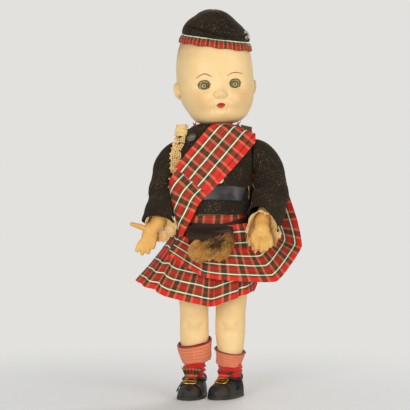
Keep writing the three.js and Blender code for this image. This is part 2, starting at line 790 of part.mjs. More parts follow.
// Frilled ring round the end of an arm.
function cuffLace(armRows, arm, sleeveOuter) {
  const rows = armRows.slice(0, -1);
  const end = vec(...rows[rows.length - 1]);
  const axis = end.clone().sub(vec(...rows[rows.length - 2])).normalize();
  const side = vec(0, 1, 0).addScaledVector(axis, -axis.y).normalize();
  const across = axis.clone().cross(side);
  const wrist = rows[rows.length - 1][3] - CLEARANCE;
  const at = (u, v) => {
    const angle = -2 * Math.PI * u;
    const ruffle = 1.1 * v * Math.sin(9 * angle);
    const radius = wrist + CUFF_FLARE * v;
    const out = side.clone().multiplyScalar(Math.cos(angle) * radius);
    out.addScaledVector(across, Math.sin(angle) * radius);
    return out.add(end).addScaledVector(axis, 9.6 * v - 1.6 + ruffle);
  };
  const ring = sheet(at, 20, 2, LACE, true);
  return mainBody(ring.subtract(arm).subtract(sleeveOuter));
}

function fingers(pairs, radius) {
  return pairs.map(([a, b]) => capsule(vec(...a), vec(...b), radius)).reduce((sum, f) => sum.add(f));
}

function rightHand() {
  return ellipsoid(vec(29, -24, -77), vec(9, 6, 10.5), 10, 7)
    .add(fingers([[[33, -25, -73], [46, -27, -68]]], 3))
    .add(
      fingers(
        [
          [[33, -26, -81], [41, -28, -94]],
          [[29, -26, -83], [36, -28, -97]],
          [[25, -26, -83], [30, -28, -96]],
        ],
        2.8,
      ),
    );
}

function leftHand() {
  return ellipsoid(vec(10.3, -38, -75), vec(8, 8, 11), 10, 7).add(
    fingers(
      [
        [[5.3, -42, -79], [3.3, -48, -89]],
        [[10.3, -43, -81], [10.3, -50, -91]],
        [[15.3, -42, -79], [16.3, -48, -89]],
      ],
      2.8,
    ),
  );
}

// Legs, each in a frame on the floor under its own axis, x away from the body's middle

// Height, sideways shift of the centre, radius
const LEG = [
  [11, 0, 8.4],
  [25, 0, 8.8],
  [34, 0, 10.4],
  [46, 0, 13],
  [58, 0, 14],
  [KNEE_HEIGHT, 0, 13],
  [lerp(KNEE_HEIGHT, HIP_HEIGHT, 0.15), 0.3, 13.4],
  [lerp(KNEE_HEIGHT, HIP_HEIGHT, 0.34), 0.8, 14.4],
  [lerp(KNEE_HEIGHT, HIP_HEIGHT, 0.59), 1.6, 15.2],
  [lerp(KNEE_HEIGHT, HIP_HEIGHT, 0.84), 3, 14.7],
  [HIP_HEIGHT + 5, 3, 14.4],
];
const LEG_SIDES = 12;

function legTube(grow, sides = LEG_SIDES) {
  return loft(LEG.map(([z, x, r]) => superRing(vec(x, 0, z), r + grow, r + grow, 2, sides)));
}

function hipTop(plane, radius, reach, sides = 16) {
  const profile = [
    [0, plane],
    [radius - 1.5, plane],
    [radius, plane + 1.5],
    [radius, plane + reach * 0.45],
    [radius * 0.86, plane + reach * 0.75],
    [radius * 0.5, plane + reach * 0.95],
    [0, plane + reach],
  ];
  return turnedX(profile, sides).translate([-LEG_SPREAD, 0, HIP_HEIGHT]);
}

// Share of the shoe's length from the heel, half width and height as shares
const SHOE = [
  [0, 0.42, 0.6],
  [0.1, 0.8, 0.78],
  [0.3, 0.94, 0.86],
  [0.5, 0.98, 0.7],
  [0.7, 1, 0.46],
  [0.88, 0.8, 0.38],
  [1, 0.36, 0.27],
];
const SHOE_SIDES = 10;
const SHOE_FLOOR = SOLE + CLEARANCE;

function shoeLoft(inset) {
  const rings = SHOE.map(([share, wide, high]) => {
    const y = HEEL_BACK - inset - share * (SHOE_LENGTH - 2 * inset);
    const ring = [];
    for (let j = 0; j < SHOE_SIDES; j++) {
      const angle = (2 * Math.PI * j) / SHOE_SIDES;
      const lift = Math.max(Math.sin(angle), 0) ** 0.8;
      const x = (wide * SHOE_HALF_WIDTH - inset) * Math.cos(angle);
      ring.push(vec(x, y, SHOE_FLOOR + inset + lift * (high * SHOE_HEIGHT - 2 * inset)));
    }
    return ring;
  });
  return loft(rings);
}

// Layers in the shoe, from the leather inward
const SOCK_INSET = LEATHER + CLEARANCE;
const FOOT_INSET = SOCK_INSET + KNIT + CLEARANCE;

// Legs are built with x outward, so a turn toward the doll's right is outward on its right leg.
function toeTurn(side) {
  return side < 0 ? RIGHT_TOE_TURN : LEFT_TOE_TURN;
}

function sockTop(side) {
  return side < 0 ? RIGHT_SOCK_TOP : LEFT_SOCK_TOP;
}

function turned(solid, side) {
  return solid.rotate([0, 0, -side * toeTurn(side)]);
}

function legShell(side) {
  const plane = CROTCH_HALF + CLEARANCE;
  const reach = 28;
  const hollow = hipTop(plane + CELLULOID, HIP_RADIUS - CELLULOID, reach - 2 * CELLULOID, 12).add(
    keepAbove(legTube(-CELLULOID, 6), 16),
  );
  return hipTop(plane, HIP_RADIUS, reach)
    .add(legTube(0))
    .add(turned(shoeLoft(FOOT_INSET), side))
    .subtract(hollow)
    .subtract(rodX(-LEG_SPREAD, 0, HIP_HEIGHT, ELASTIC_RADIUS + 1, 10));
}

function sock(side) {
  const outer = turned(shoeLoft(SOCK_INSET), side).add(legTube(CLEARANCE + KNIT));
  const inner = turned(shoeLoft(SOCK_INSET + KNIT), side).add(legTube(CLEARANCE));
  return keepBelow(outer.subtract(inner), sockTop(side));
}

function sockCuff(side) {
  const inner = 2 * CLEARANCE + KNIT;
  const flared = legTube(inner + 1.6 * KNIT).subtract(legTube(inner));
  return keepAbove(keepBelow(flared, sockTop(side)), sockTop(side) - SOCK_CUFF_DROP);
}

// Shoe pieces, in the frame of the foot

function shoeUpper(side) {
  const ankle = legTube(2 * CLEARANCE + KNIT).rotate([0, 0, side * toeTurn(side)]);
  return mainBody(shoeLoft(0).subtract(shoeLoft(LEATHER)).subtract(ankle));
}

function shoeSole() {
  const steps = 12;
  const points = [];
  for (const way of [1, -1]) {
    for (let i = 0; i <= steps; i++) {
      const share = way > 0 ? i / steps : 1 - i / steps;
      const half = along(SHOE, share)[1] * SHOE_HALF_WIDTH + 0.9;
      points.push(new THREE.Vector2(way * half, HEEL_BACK + 0.9 - share * (SHOE_LENGTH + 1.8)));
    }
  }
  return solidOf(new THREE.ExtrudeGeometry(new THREE.Shape(points), { depth: SOLE, bevelEnabled: false }));
}

// Height of the shoe's top line at a share of its length.
function vampHeight(share) {
  return SHOE_FLOOR + along(SHOE, share)[2] * SHOE_HEIGHT;
}

function shoeY(share) {
  return HEEL_BACK - share * SHOE_LENGTH;
}

function vampSlope(share) {
  const rise = vampHeight(share - 0.08) - vampHeight(share + 0.08);
  return Math.atan2(rise, 0.16 * SHOE_LENGTH);
}

// Puts a flat piece made at the origin on the slope of the vamp.
function onVamp(solid, share, lift) {
  const tilt = THREE.MathUtils.radToDeg(vampSlope(share));
  return solid.rotate([tilt, 0, 0]).translate([0, shoeY(share), vampHeight(share) + lift]);
}

function shoeShare(forward) {
  return (HEEL_BACK + forward) / SHOE_LENGTH;
}

function shoeBuckle() {
  const frame = new THREE.Shape();
  frame.moveTo(-6, -4);
  frame.lineTo(6, -4);
  frame.lineTo(6, 4);
  frame.lineTo(-6, 4);
  const hole = new THREE.Path();
  hole.moveTo(-4.4, -2.4);
  hole.lineTo(-4.4, 2.4);
  hole.lineTo(4.4, 2.4);
  hole.lineTo(4.4, -2.4);
  frame.holes.push(hole);
  const plate = solidOf(new THREE.ExtrudeGeometry(frame, { depth: 1.2, bevelEnabled: false }));
  return onVamp(plate, shoeShare(BUCKLE_FORWARD), 0.9);
}

function shoeTongue(side, spread, rise) {
  const ankle = legTube(2 * CLEARANCE + KNIT).rotate([0, 0, side * toeTurn(side)]);
  const at = (u, v) => {
    const half = lerp(6, spread, v);
    const fold = 0.7 * Math.cos(u * 6 * Math.PI) * v;
    const y = -TONGUE_FORWARD + 3.5 * v + fold;
    return vec(lerp(-half, half, u), y, vampHeight(shoeShare(TONGUE_FORWARD)) + 1 + rise * v);
  };
  const fan = sheet((u, v) => at(1 - u, v), 6, 2, RIBBON, false);
  return mainBody(fan.subtract(ankle).subtract(shoeLoft(0).translate([0, 0, CLEARANCE])));
}

function shoeBow() {
  const x = SHOE_HALF_WIDTH - 0.8;
  const ankle = legTube(2 * CLEARANCE + KNIT).rotate([0, 0, toeTurn(1)]);
  const loops = ellipsoid(vec(x, -2, 16), vec(1.8, 3.4, 4.4), 6, 5);
  return mainBody(
    loops
      .add(ellipsoid(vec(x, 1.6, 11), vec(1.6, 2.6, 4.4), 6, 5))
      .subtract(shoeLoft(-CLEARANCE))
      .subtract(ankle),
  );
}

// Head, in a frame with its origin at the neck pivot

const SKULL = vec(0, 0, HEAD_LIFT);

// Swellings of the face: sideways, up from the skull centre, spread, spread up, height
const FEATURES = [
  [17, -20, 9, 9, 2.4],
  [-17, -20, 9, 9, 2.4],
  [0, -40, 9, 6, 2.6],
  [0, -31, 6, 4, 1.4],
  [EYE_HALF_SPACING, -EYE_DROP, 7, 5, -1.6],
  [-EYE_HALF_SPACING, -EYE_DROP, 7, 5, -1.6],
];

function headPoint(direction, grow) {
  const height = direction.z > 0 ? HEAD_TOP : HEAD_HALF_HEIGHT;
  const half = vec(HEAD_HALF_WIDTH, HEAD_HALF_DEPTH, height).addScalar(grow);
  const share = direction.clone().divide(half);
  const total = share.toArray().reduce((sum, s) => sum + Math.abs(s) ** HEAD_POWER, 0);
  const point = direction.clone().multiplyScalar(total ** (-1 / HEAD_POWER));
  const facing = clamp(-direction.y * 2, 0, 1);
  for (const [x, z, spreadX, spreadZ, height] of FEATURES) {
    const away = ((point.x - x) / spreadX) ** 2 + ((point.z - z) / spreadZ) ** 2;
    point.y -= height * facing * Math.exp(-away);
  }
  return point.add(SKULL);
}

function headSolid(grow, around = HEAD_AROUND, rings = HEAD_RINGS) {
  const skin = new THREE.SphereGeometry(1, around, rings).rotateX(Math.PI / 2);
  const place = skin.getAttribute("position");
  for (let i = 0; i < place.count; i++) {
    const point = headPoint(vec().fromBufferAttribute(place, i).normalize(), grow);
    place.setXYZ(i, point.x, point.y, point.z);
  }
  return solidOf(skin);
}

const HEAD_AROUND = 24;
const HEAD_RINGS = 14;
const INNER_AROUND = 10;
const INNER_RINGS = 7;

// Front of the face at a place beside and above the skull centre.
function faceFront(x, z) {
  const beside = (Math.abs(x) / HEAD_HALF_WIDTH) ** HEAD_POWER;
  const above = (Math.abs(z) / HEAD_HALF_HEIGHT) ** HEAD_POWER;
  const y = -HEAD_HALF_DEPTH * (1 - beside - above) ** (1 / HEAD_POWER);
  return headPoint(vec(x, y, z).normalize(), 0).y;
}

function eyeCentre(side) {
  const y = faceFront(EYE_HALF_SPACING, -EYE_DROP) + 0.7 + EYE_RADIUS;
  return vec(side * EYE_HALF_SPACING, y, HEAD_LIFT - EYE_DROP);
}

function eyeHole(side) {
  const centre = eyeCentre(side);
  const hole = new THREE.CylinderGeometry(1, 1, 2 * EYE_RADIUS, 14);
  hole.scale(EYE_OPENING.x, 1, EYE_OPENING.y);
  return solidOf(hole.translate(centre.x, centre.y - EYE_RADIUS, centre.z));
}

function headShell() {
  const neck = rodZ(vec(0, 0, 9), NECK_RADIUS, 18, 14).add(ball(vec(0, 0, 0), NECK_RADIUS, 14, 8));
  const inside = NECK_RADIUS - CELLULOID;
  const bore = rodZ(vec(0, 0, 10), inside, 20, 10).add(ball(vec(0, 0, 0), inside, 10, 6));
  let shell = headSolid(0).add(neck);
  const nose = vec(0, faceFront(0, -NOSE_DROP) - NOSE.y * 0.2, HEAD_LIFT - NOSE_DROP);
  shell = shell.add(ellipsoid(nose, NOSE, 8, 7));
  for (const side of [-1, 1]) {
    const ear = vec(side * (HEAD_HALF_WIDTH - 1.2), 5, HEAD_LIFT - 14);
    shell = shell.add(ellipsoid(ear, EAR, 8, 7));
  }
  shell = shell.subtract(headSolid(-CELLULOID, INNER_AROUND, INNER_RINGS).add(bore));
  for (const side of [-1, 1]) {
    shell = shell.subtract(eyeHole(side)).subtract(ball(eyeCentre(side), EYE_RADIUS + CLEARANCE));
  }
  return mainBody(shell.subtract(rodZ(vec(0, 0, -12), 5, 12, 14)));
}

function eyeSetting(side) {
  const centre = eyeCentre(side);
  const lump = ball(centre, EYE_RADIUS + 3.2, 8, 5).subtract(ball(centre, EYE_RADIUS + CLEARANCE));
  const inside = headSolid(-CELLULOID - CLEARANCE, INNER_AROUND, INNER_RINGS);
  return mainBody(lump.intersect(inside).trimByPlane([0, -1, 0], -centre.y - 3));
}

function neckDisc() {
  const disc = rodZ(vec(0, 0, -5.6), 8, 3, 12);
  return disc.subtract(rodZ(vec(0, 0, -5.6), WIRE_RADIUS + 0.6, 10, 10));
}

// The hook hangs from the neck disc and catches the arm elastic.
function neckHook() {
  const drop = NECK_RISE;
  const bend = ELASTIC_RADIUS + WIRE_RADIUS + 1.5 * CLEARANCE;
  const shift = leanAt(SHOULDER_HEIGHT) - NECK.x;
  const points = [
    vec(0, 0, -3),
    vec(0, 0, -9),
    vec(shift * 0.6, bend * 0.3, -drop * 0.6),
    vec(shift, bend, -drop + 2),
    vec(shift, bend * 0.7, -drop - bend * 0.7),
    vec(shift, 0, -drop - bend),
    vec(shift, -bend * 0.7, -drop - bend * 0.7),
    vec(shift, -bend, -drop + 1),
  ];
  return wire(points, WIRE_RADIUS).add(ball(vec(0, 0, -1.4), WIRE_RADIUS + 1.4, 7, 5));
}

// Elastic cord along X with a knot at each end.
function elastic(from, to, height) {
  const k = KNOT_RADIUS;
  const r = ELASTIC_RADIUS;
  const profile = [
    [0, from - k],
    [k * 0.7, from - k * 0.7],
    [k, from],
    [k * 0.7, from + k * 0.7],
    [r, from + k],
    [r, to - k],
    [k * 0.7, to - k * 0.7],
    [k, to],
    [k * 0.7, to + k * 0.7],
    [0, to + k],
  ];
  return turnedX(profile, 10).translate([0, 0, height]);
}

// Cap, in a frame at the middle of its band

function capFrame() {
  const turn = new THREE.Euler(radians(CAP_PITCH), radians(CAP_ROLL), 0);
  const matrix = new THREE.Matrix4().makeRotationFromEuler(turn);
  return matrix.setPosition(0, -1, HEAD_LIFT + CAP_LIFT);
}

function inCapFrame(solid) {
  return solid.transform(capFrame().invert().toArray());
}

function capBand() {
  const outer = inCapFrame(headSolid(CLEARANCE + 1.4));
  const inner = inCapFrame(headSolid(CLEARANCE));
  return keepAbove(keepBelow(outer.subtract(inner), BAND_HEIGHT / 2), -BAND_HEIGHT / 2);
}

// Share of the crown's height, sideways shift of the middle, half width and half depth
const CROWN = [
  [0, -0.5, 33.6, 35.8],
  [0.2, -1.5, 33.2, 36],
  [0.55, -3.6, 25.9, 34.5],
  [0.73, -4.1, 18.6, 32.5],
  [0.93, -5.4, 9.8, 28.5],
  [1, -4.5, 4, 25],
];

function crownLoft(inset, drop) {
  const low = BAND_HEIGHT / 2 + CLEARANCE - drop;
  const rings = CROWN.map(([share, x, halfX, halfY]) => {
    const centre = vec(x, 0, low + share * (CROWN_HEIGHT - inset + drop));
    return superRing(centre, halfX - inset, halfY - inset, 2.2, 16);
  });
  return loft(rings);
}

function capCrown() {
  const head = inCapFrame(headSolid(CLEARANCE));
  return mainBody(crownLoft(0, 0).subtract(crownLoft(FELT, 2)).subtract(head));
}

function capCockade() {
  const rosette = ellipsoid(vec(31.9, -15, 11), vec(2.4, 5, 6.5), 7, 5);
  return mainBody(rosette.subtract(crownLoft(-CLEARANCE, 0)));
}

// Assembly

function node(name, solid, finish) {
  const [color, roughness, metalness] = FINISHES[finish];
  const material = new THREE.MeshStandardMaterial({ color, roughness, metalness });
  const mesh = new THREE.Mesh(geometryOf(solid), material);
  mesh.name = name;
  return mesh;
}

const doll = new THREE.Group();
doll.name = "celluloid_doll";
doll.position.set(BODY_X, BODY_Y, 0);

// Sleeves in the doll's frame, grown a little, keep the sash clear of them.
function sleeveInPlace(rows, side, grow) {
  const solid = sleeveSolid(rows, -grow, 0.5);
  const placed = side > 0 ? solid : solid.mirror([1, 0, 0]);
  return placed.translate([SHOULDER_X + side * SHOULDER_HALF, 0, SHOULDER_HEIGHT]);
}
const sleeves = sleeveInPlace(RIGHT_ARM, -1, CLEARANCE).add(sleeveInPlace(LEFT_ARM, 1, CLEARANCE));

doll.add(
  node("torso_shell", torsoShell(), "celluloid"),
  node("jacket_body", jacketBody(), "felt"),
  node("waist_belt", waistBelt(), "leather"),
  node("belt_buckle", beltBuckle(), "gilt"),
  node("sash_lower", sashLower(sleeves), "tartan"),
  node("sash_upper", sashUpper(sleeves), "tartan"),
  node("jabot_lace", jabotLace(), "lace"),
  node("neck_ribbon", neckRibbon(), "red"),
  node("kilt", kilt(), "tartan"),
  node("kilt_waistband", kiltBand(0, 0.07, CLEARANCE, RIBBON), "tartan"),
  node("sporran_strap", kiltBand(0.085, 0.16, CLEARANCE, LEATHER), "leather"),
  node("plaid_tail", plaidTail(), "tartan"),
);

doll.add(
  node(
    "arm_elastic",
    elastic(
      SHOULDER_X - ARM_PLANE - CELLULOID - CLEARANCE - KNOT_RADIUS,
      SHOULDER_X + ARM_PLANE + CELLULOID + CLEARANCE + KNOT_RADIUS,
      SHOULDER_HEIGHT,
    ),
    "elastic",
  ),
  node(
    "leg_elastic",
    elastic(
      -CROTCH_HALF - 2 * CLEARANCE - CELLULOID - KNOT_RADIUS,
      CROTCH_HALF + 2 * CLEARANCE + CELLULOID + KNOT_RADIUS,
      HIP_HEIGHT,
    ),
    "elastic",
  ),
);

const hook = node("neck_hook", neckHook(), "steel");
hook.position.copy(NECK);
doll.add(hook);

const sporran = new THREE.Group();
sporran.position.copy(SPORRAN);
sporran.rotation.x = radians(-SPORRAN_TILT);
sporran.add(node("sporran_flap", sporranFlap(), "leather"));
sporran.add(node("sporran_pouch", sporranPouch(), "fur"));
doll.add(sporran);

// Each arm is built for the doll's left and mirrored for its right.
function addArm(name, rows, hand, side) {
  const group = new THREE.Group();
  group.position.set(SHOULDER_X + side * SHOULDER_HALF, 0, SHOULDER_HEIGHT);
  const placed = (solid) => (side > 0 ? solid : solid.mirror([1, 0, 0]));
  const covered = armSolid(rows, CLEARANCE).add(hand);
  const lace = cuffLace(rows, covered, sleeveSolid(rows, -CLEARANCE, 0.5));
  group.add(node(`${name}_arm`, placed(armShell(rows, hand)), "celluloid"));
  group.add(node(`${name}_sleeve`, placed(sleeve(rows)), "felt"));
  group.add(node(`${name}_cuff_lace`, placed(lace), "lace"));
  doll.add(group);
}
addArm("right", RIGHT_ARM, rightHand(), -1);
addArm("left", LEFT_ARM, leftHand(), 1);

function addLeg(name, side) {
  const group = new THREE.Group();
  group.position.set(side * LEG_SPREAD, 0, 0);
  const placed = (solid) => (side > 0 ? solid : solid.mirror([1, 0, 0]));
  group.add(node(`${name}_leg`, placed(legShell(side)), "celluloid"));
  group.add(node(`${name}_sock`, placed(sock(side)), "sock"));
  group.add(node(`${name}_sock_cuff`, placed(sockCuff(side)), "salmon"));
  const foot = new THREE.Group();
  foot.rotation.z = radians(-toeTurn(side));
  foot.add(node(`${name}_shoe_upper`, placed(shoeUpper(side)), "leather"));
  foot.add(node(`${name}_shoe_sole`, placed(shoeSole()), "leather"));
  foot.add(node(`${name}_shoe_buckle`, shoeBuckle(), "gilt"));
  const tongue = side < 0 ? shoeTongue(side, 10, 11) : shoeTongue(side, 8, 6);
  foot.add(node(`${name}_shoe_tongue`, placed(tongue), "tartan"));
  if (side > 0) foot.add(node(`${name}_shoe_bow`, shoeBow(), "leather"));
  group.add(foot);
  doll.add(group);
}
addLeg("right", -1);
addLeg("left", 1);

const head = new THREE.Group();
head.position.copy(NECK);
head.rotation.set(0, radians(-HEAD_ROLL), radians(HEAD_TURN), "YXZ");
head.add(
  node("head_shell", headShell(), "celluloid"),
  node("right_eye", ball(eyeCentre(-1), EYE_RADIUS), "glass"),
  node("left_eye", ball(eyeCentre(1), EYE_RADIUS), "glass"),
  node("right_eye_setting", eyeSetting(-1), "plaster"),
  node("left_eye_setting", eyeSetting(1), "plaster"),
  node("neck_disc", neckDisc(), "wood"),
);
const cap = new THREE.Group();
cap.applyMatrix4(capFrame());
cap.add(
  node("cap_crown", capCrown(), "felt"),
  node("cap_band", capBand(), "tartan"),
  node("cap_cockade", capCockade(), "white"),
);
head.add(cap);
doll.add(head);

doll.add(
  node("collar_button", collarButton(), "silver"),
  node("pearl_button", pearlButton(), "pearl"),
  node("plaid_brooch", plaidBrooch(), "horn"),
);

export default doll;
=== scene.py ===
"""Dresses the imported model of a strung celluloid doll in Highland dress, in a pale studio."""
import json
import math

import bmesh
import bpy
import numpy as np
from mathutils import Matrix, Vector
from mathutils.bvhtree import BVHTree


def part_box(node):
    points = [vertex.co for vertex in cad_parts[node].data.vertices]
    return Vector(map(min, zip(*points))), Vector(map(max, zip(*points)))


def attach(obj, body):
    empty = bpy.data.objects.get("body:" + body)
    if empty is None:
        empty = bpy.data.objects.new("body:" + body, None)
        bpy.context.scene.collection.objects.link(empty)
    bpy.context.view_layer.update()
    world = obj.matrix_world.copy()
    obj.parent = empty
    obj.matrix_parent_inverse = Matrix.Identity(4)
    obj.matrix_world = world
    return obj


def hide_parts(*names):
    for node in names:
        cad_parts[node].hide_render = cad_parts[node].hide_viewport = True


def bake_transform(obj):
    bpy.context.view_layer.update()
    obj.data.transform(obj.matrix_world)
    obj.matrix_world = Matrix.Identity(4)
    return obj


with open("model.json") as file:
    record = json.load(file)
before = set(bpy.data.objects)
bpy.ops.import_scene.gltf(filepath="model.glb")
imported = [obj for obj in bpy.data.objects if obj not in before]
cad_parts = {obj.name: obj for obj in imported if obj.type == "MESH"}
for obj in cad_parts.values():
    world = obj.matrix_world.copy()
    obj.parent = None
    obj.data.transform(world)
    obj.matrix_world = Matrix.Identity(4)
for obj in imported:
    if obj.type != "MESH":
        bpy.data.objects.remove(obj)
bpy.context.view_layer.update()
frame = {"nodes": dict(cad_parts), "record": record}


TAU = 2 * math.pi

# Frame: millimetres about the body's axis, as the solids are made, and metres in Blender
MM = 0.001
JOINTS = {j["name"]: np.array(j["pos_m"]) / MM for j in frame["record"]["behaviour"]["joints"]}
BODY = (JOINTS["right_hip"] + JOINTS["left_hip"]) / 2 * [1, 1, 0]
HIP_HEIGHT = JOINTS["right_hip"][2]
SHOULDERS = {side: JOINTS[f"{side}_shoulder"] - BODY for side in ("right", "left")}
SHOULDER_X = (SHOULDERS["right"][0] + SHOULDERS["left"][0]) / 2
NECK = JOINTS["neck_turn"] - BODY
SPORRAN = JOINTS["sporran_swing"] - BODY
SIDES = {"right": -1, "left": 1}

# Cloth thicknesses and the layers over the torso
FELT = 1.5
RIBBON = 0.6
RIBBON_WIDTH = 38.7
LACE = 0.5
JACKET_TOP = 1.9
BELT_TOP = 3.4
SASH_TOP = 4.8
SASH_UPPER_TOP = 6.4
JACKET_NECK_HEIGHT = 271.5
JACKET_NECK_RADIUS = 15.6

# Torso: height, half width, half depth
TORSO = [
    [149.7, 21, 18], [156.5, 29, 23], [170.1, 34.5, 26], [186.1, 33, 26], [204.8, 34, 26],
    [224.3, 34.2, 26], [245, 38, 24.5], [256, 36.5, 22], [264, 31, 18.5], [270, 21, 16.5],
]
TORSO_POWER = 2.3
TORSO_LEAN = 2.2
BELT_HEIGHT = HIP_HEIGHT + 41
BELT_WIDTH = 14
KILT_TOP = HIP_HEIGHT + 19
KILT_FALL = 75


# Numbers


def lerp(a, b, t):
    return a + (b - a) * t


def smooth(low, high, value):
    t = np.clip((value - low) / (high - low), 0, 1)
    return t * t * (3 - 2 * t)


def hump(value, middle, spread):
    return np.exp(-(((value - middle) / spread) ** 2))


def signed_power(value, power):
    return np.sign(value) * np.abs(value) ** power


def through(rows, at):
    """The columns after the first, on smooth curves through every row, where the first column is at."""
    rows = np.array(rows, float)
    x = rows[:, 0]
    y = rows[:, 1:]
    slope = np.gradient(y, x, axis=0)
    at = np.clip(np.asarray(at, float), x[0], x[-1])
    i = np.clip(np.searchsorted(x, at) - 1, 0, len(x) - 2)
    step = (x[i + 1] - x[i])[..., None]
    t = (at - x[i])[..., None] / step
    a = (1 + 2 * t) * (1 - t) ** 2 * y[i] + t * (1 - t) ** 2 * step * slope[i]
    b = t * t * (3 - 2 * t) * y[i + 1] + t * t * (t - 1) * step * slope[i + 1]
    return a + b


def curve(points, t):
    """Points on a smooth curve through points, t from 0 to 1."""
    points = np.array(points, float)
    share = np.linspace(0, 1, len(points))
    return through(np.column_stack([share, points]), t)


def ripple(points, size, seed):
    """Smooth seeded noise of about -1 to 1 at points, with features of the given size."""
    rng = np.random.default_rng(seed)
    total = np.zeros(points.shape[:-1])
    for octave in range(3):
        for _ in range(5):
            way = rng.normal(size=3)
            way *= TAU * 2**octave / size / np.linalg.norm(way)
            total += np.sin(points @ way + rng.uniform(0, 7)) / 2**octave
    return total / 6


def joined(*columns):
    """Points, or UVs, from grids of their coordinates."""
    return np.stack(np.broadcast_arrays(*columns), -1)


def turns(count):
    """Angles once round."""
    return np.linspace(0, TAU, count, endpoint=False)


def unit(vectors):
    return vectors / np.maximum(np.linalg.norm(vectors, axis=-1, keepdims=True), 1e-9)


def arc_length(points):
    steps = np.linalg.norm(np.diff(points, axis=0), axis=-1)
    return np.concatenate([[0], np.cumsum(steps)])


# Meshes


def grid_faces(rows, cols, wrap):
    i = np.arange(rows - 1)[:, None]
    j = np.arange(cols if wrap else cols - 1)[None, :]
    k = (j + 1) % cols
    quads = [i * cols + j, i * cols + k, (i + 1) * cols + k, (i + 1) * cols + j]
    return joined(*quads).reshape(-1, 4)


def grid_normals(grid, wrap=False):
    if wrap:
        along = (np.roll(grid, -1, 1) - np.roll(grid, 1, 1)) / 2
    else:
        along = np.gradient(grid, axis=1)
    return unit(np.cross(along, np.gradient(grid, axis=0)))


class Bits:
    """Points, faces and UVs gathered from several shapes, for one mesh."""

    def __init__(self):
        self.points = []
        self.faces = []
        self.uvs = []
        self.count = 0

    def add(self, points, faces, uv=None):
        points = np.asarray(points, float).reshape(-1, 3)
        self.points.append(points)
        if uv is None:
            uv = np.zeros((len(points), 2))
        self.uvs.append(np.asarray(uv, float).reshape(-1, 2))
        self.faces.extend([[int(v) + self.count for v in face] for face in faces])
        self.count += len(points)
        return self

    def sheet(self, grid, thickness, wrap=False, uv=None, keep=None):
        """A closed sheet: the grid, the grid set back by the thickness, and the edge between."""
        rows, cols = grid.shape[:2]
        back = grid - grid_normals(grid, wrap) * thickness
        faces = grid_faces(rows, cols, wrap)
        if keep is not None:
            faces = faces[np.asarray(keep).reshape(-1)]
        sides = np.concatenate([faces[:, [k, (k + 1) % 4]] for k in range(4)])
        total = rows * cols
        code = sides[:, 0] * total + sides[:, 1]
        rim = sides[~np.isin(code, sides[:, 1] * total + sides[:, 0])]
        edge = np.column_stack([rim[:, 1], rim[:, 0], rim[:, 0] + total, rim[:, 1] + total])
        everything = np.concatenate([faces, faces[:, ::-1] + total, edge])
        both = np.concatenate([grid.reshape(-1, 3), back.reshape(-1, 3)])
        uv = None if uv is None else np.concatenate([uv.reshape(-1, 2)] * 2)
        return self.add(both, everything, uv)

    def loft(self, rings, uv=None):
        """A closed tube through rings, with a fan at each end."""
        rings = np.asarray(rings, float)
        rows, cols = rings.shape[:2]
        faces = [list(face) for face in grid_faces(rows, cols, True)]
        ends = [rings[0].mean(0), rings[-1].mean(0)]
        last = (rows - 1) * cols
        for j in range(cols):
            k = (j + 1) % cols
            faces.append([rows * cols, k, j])
            faces.append([rows * cols + 1, last + j, last + k])
        if uv is not None:
            uv = np.concatenate([uv.reshape(-1, 2), uv[0, :1], uv[-1, :1]])
        return self.add(np.concatenate([rings.reshape(-1, 3), ends]), faces, uv)

    def tube(self, points, radii, sides, steps):
        """A round tube along a smooth path, with domed ends."""
        points = np.array(points, float)
        radii = np.broadcast_to(radii, len(points))
        t = np.linspace(0, 1, steps)
        path = curve(points, t)
        radius = curve(np.array(radii, float)[:, None], t)[:, 0]
        tangent = unit(np.gradient(path, axis=0))
        dome = np.array([0.97, 0.82, 0.55, 0.25])
        start = path[0] - tangent[0] * radius[0] * dome[:, None]
        finish = path[-1] + tangent[-1] * radius[-1] * dome[::-1, None]
        small = np.sqrt(1 - dome**2)
        path = np.concatenate([start, path, finish])
        radius = np.concatenate([radius[0] * small, radius, radius[-1] * small[::-1]])
        tangent = np.concatenate([np.repeat(tangent[:1], 4, 0), tangent, np.repeat(tangent[-1:], 4, 0)])
        return self.loft(tube_rings(path, tangent, radius, sides))

    def ball(self, centre, radii, sides=16, rings=10):
        lat = np.linspace(-0.48 * math.pi, 0.48 * math.pi, rings)[:, None]
        lon = turns(sides)[None, :]
        shape = joined(np.cos(lat) * np.cos(lon), np.cos(lat) * np.sin(lon), np.sin(lat))
        return self.loft(shape * np.array(radii, float) + np.array(centre, float))

    def make(self, name, material, matrix=None, crease=50):
        """A Blender object in metres. Without a matrix, the points are about the body's axis."""
        points = np.concatenate(self.points)
        mesh = bpy.data.meshes.new(name)
        mesh.from_pydata(((points if matrix else points + BODY) * MM).tolist(), [], self.faces)
        layer = mesh.uv_layers.new(name="UVMap")
        corners = np.zeros(len(mesh.loops), dtype=np.int32)
        mesh.loops.foreach_get("vertex_index", corners)
        layer.data.foreach_set("uv", (np.concatenate(self.uvs)[corners] * MM).ravel())
        settle(mesh)
        shade(mesh, crease)
        mesh.materials.append(material)
        piece = linked(name, mesh)
        if matrix:
            piece.matrix_world = matrix
        return piece


def linked(name, data):
    result = bpy.data.objects.new(name, data)
    bpy.context.scene.collection.objects.link(result)
    return result


def shade(mesh, crease=180):
    """Smooth shading, with hard edges where faces meet at more than the crease in degrees."""
    mesh.polygons.foreach_set("use_smooth", [True] * len(mesh.polygons))
    if crease < 180:
        mesh.set_sharp_from_angle(angle=math.radians(crease))


def settle(mesh):
    """Turns every face outward."""
    work = bmesh.new()
    work.from_mesh(mesh)
    bmesh.ops.recalc_face_normals(work, faces=work.faces)
    work.to_mesh(mesh)
    work.free()


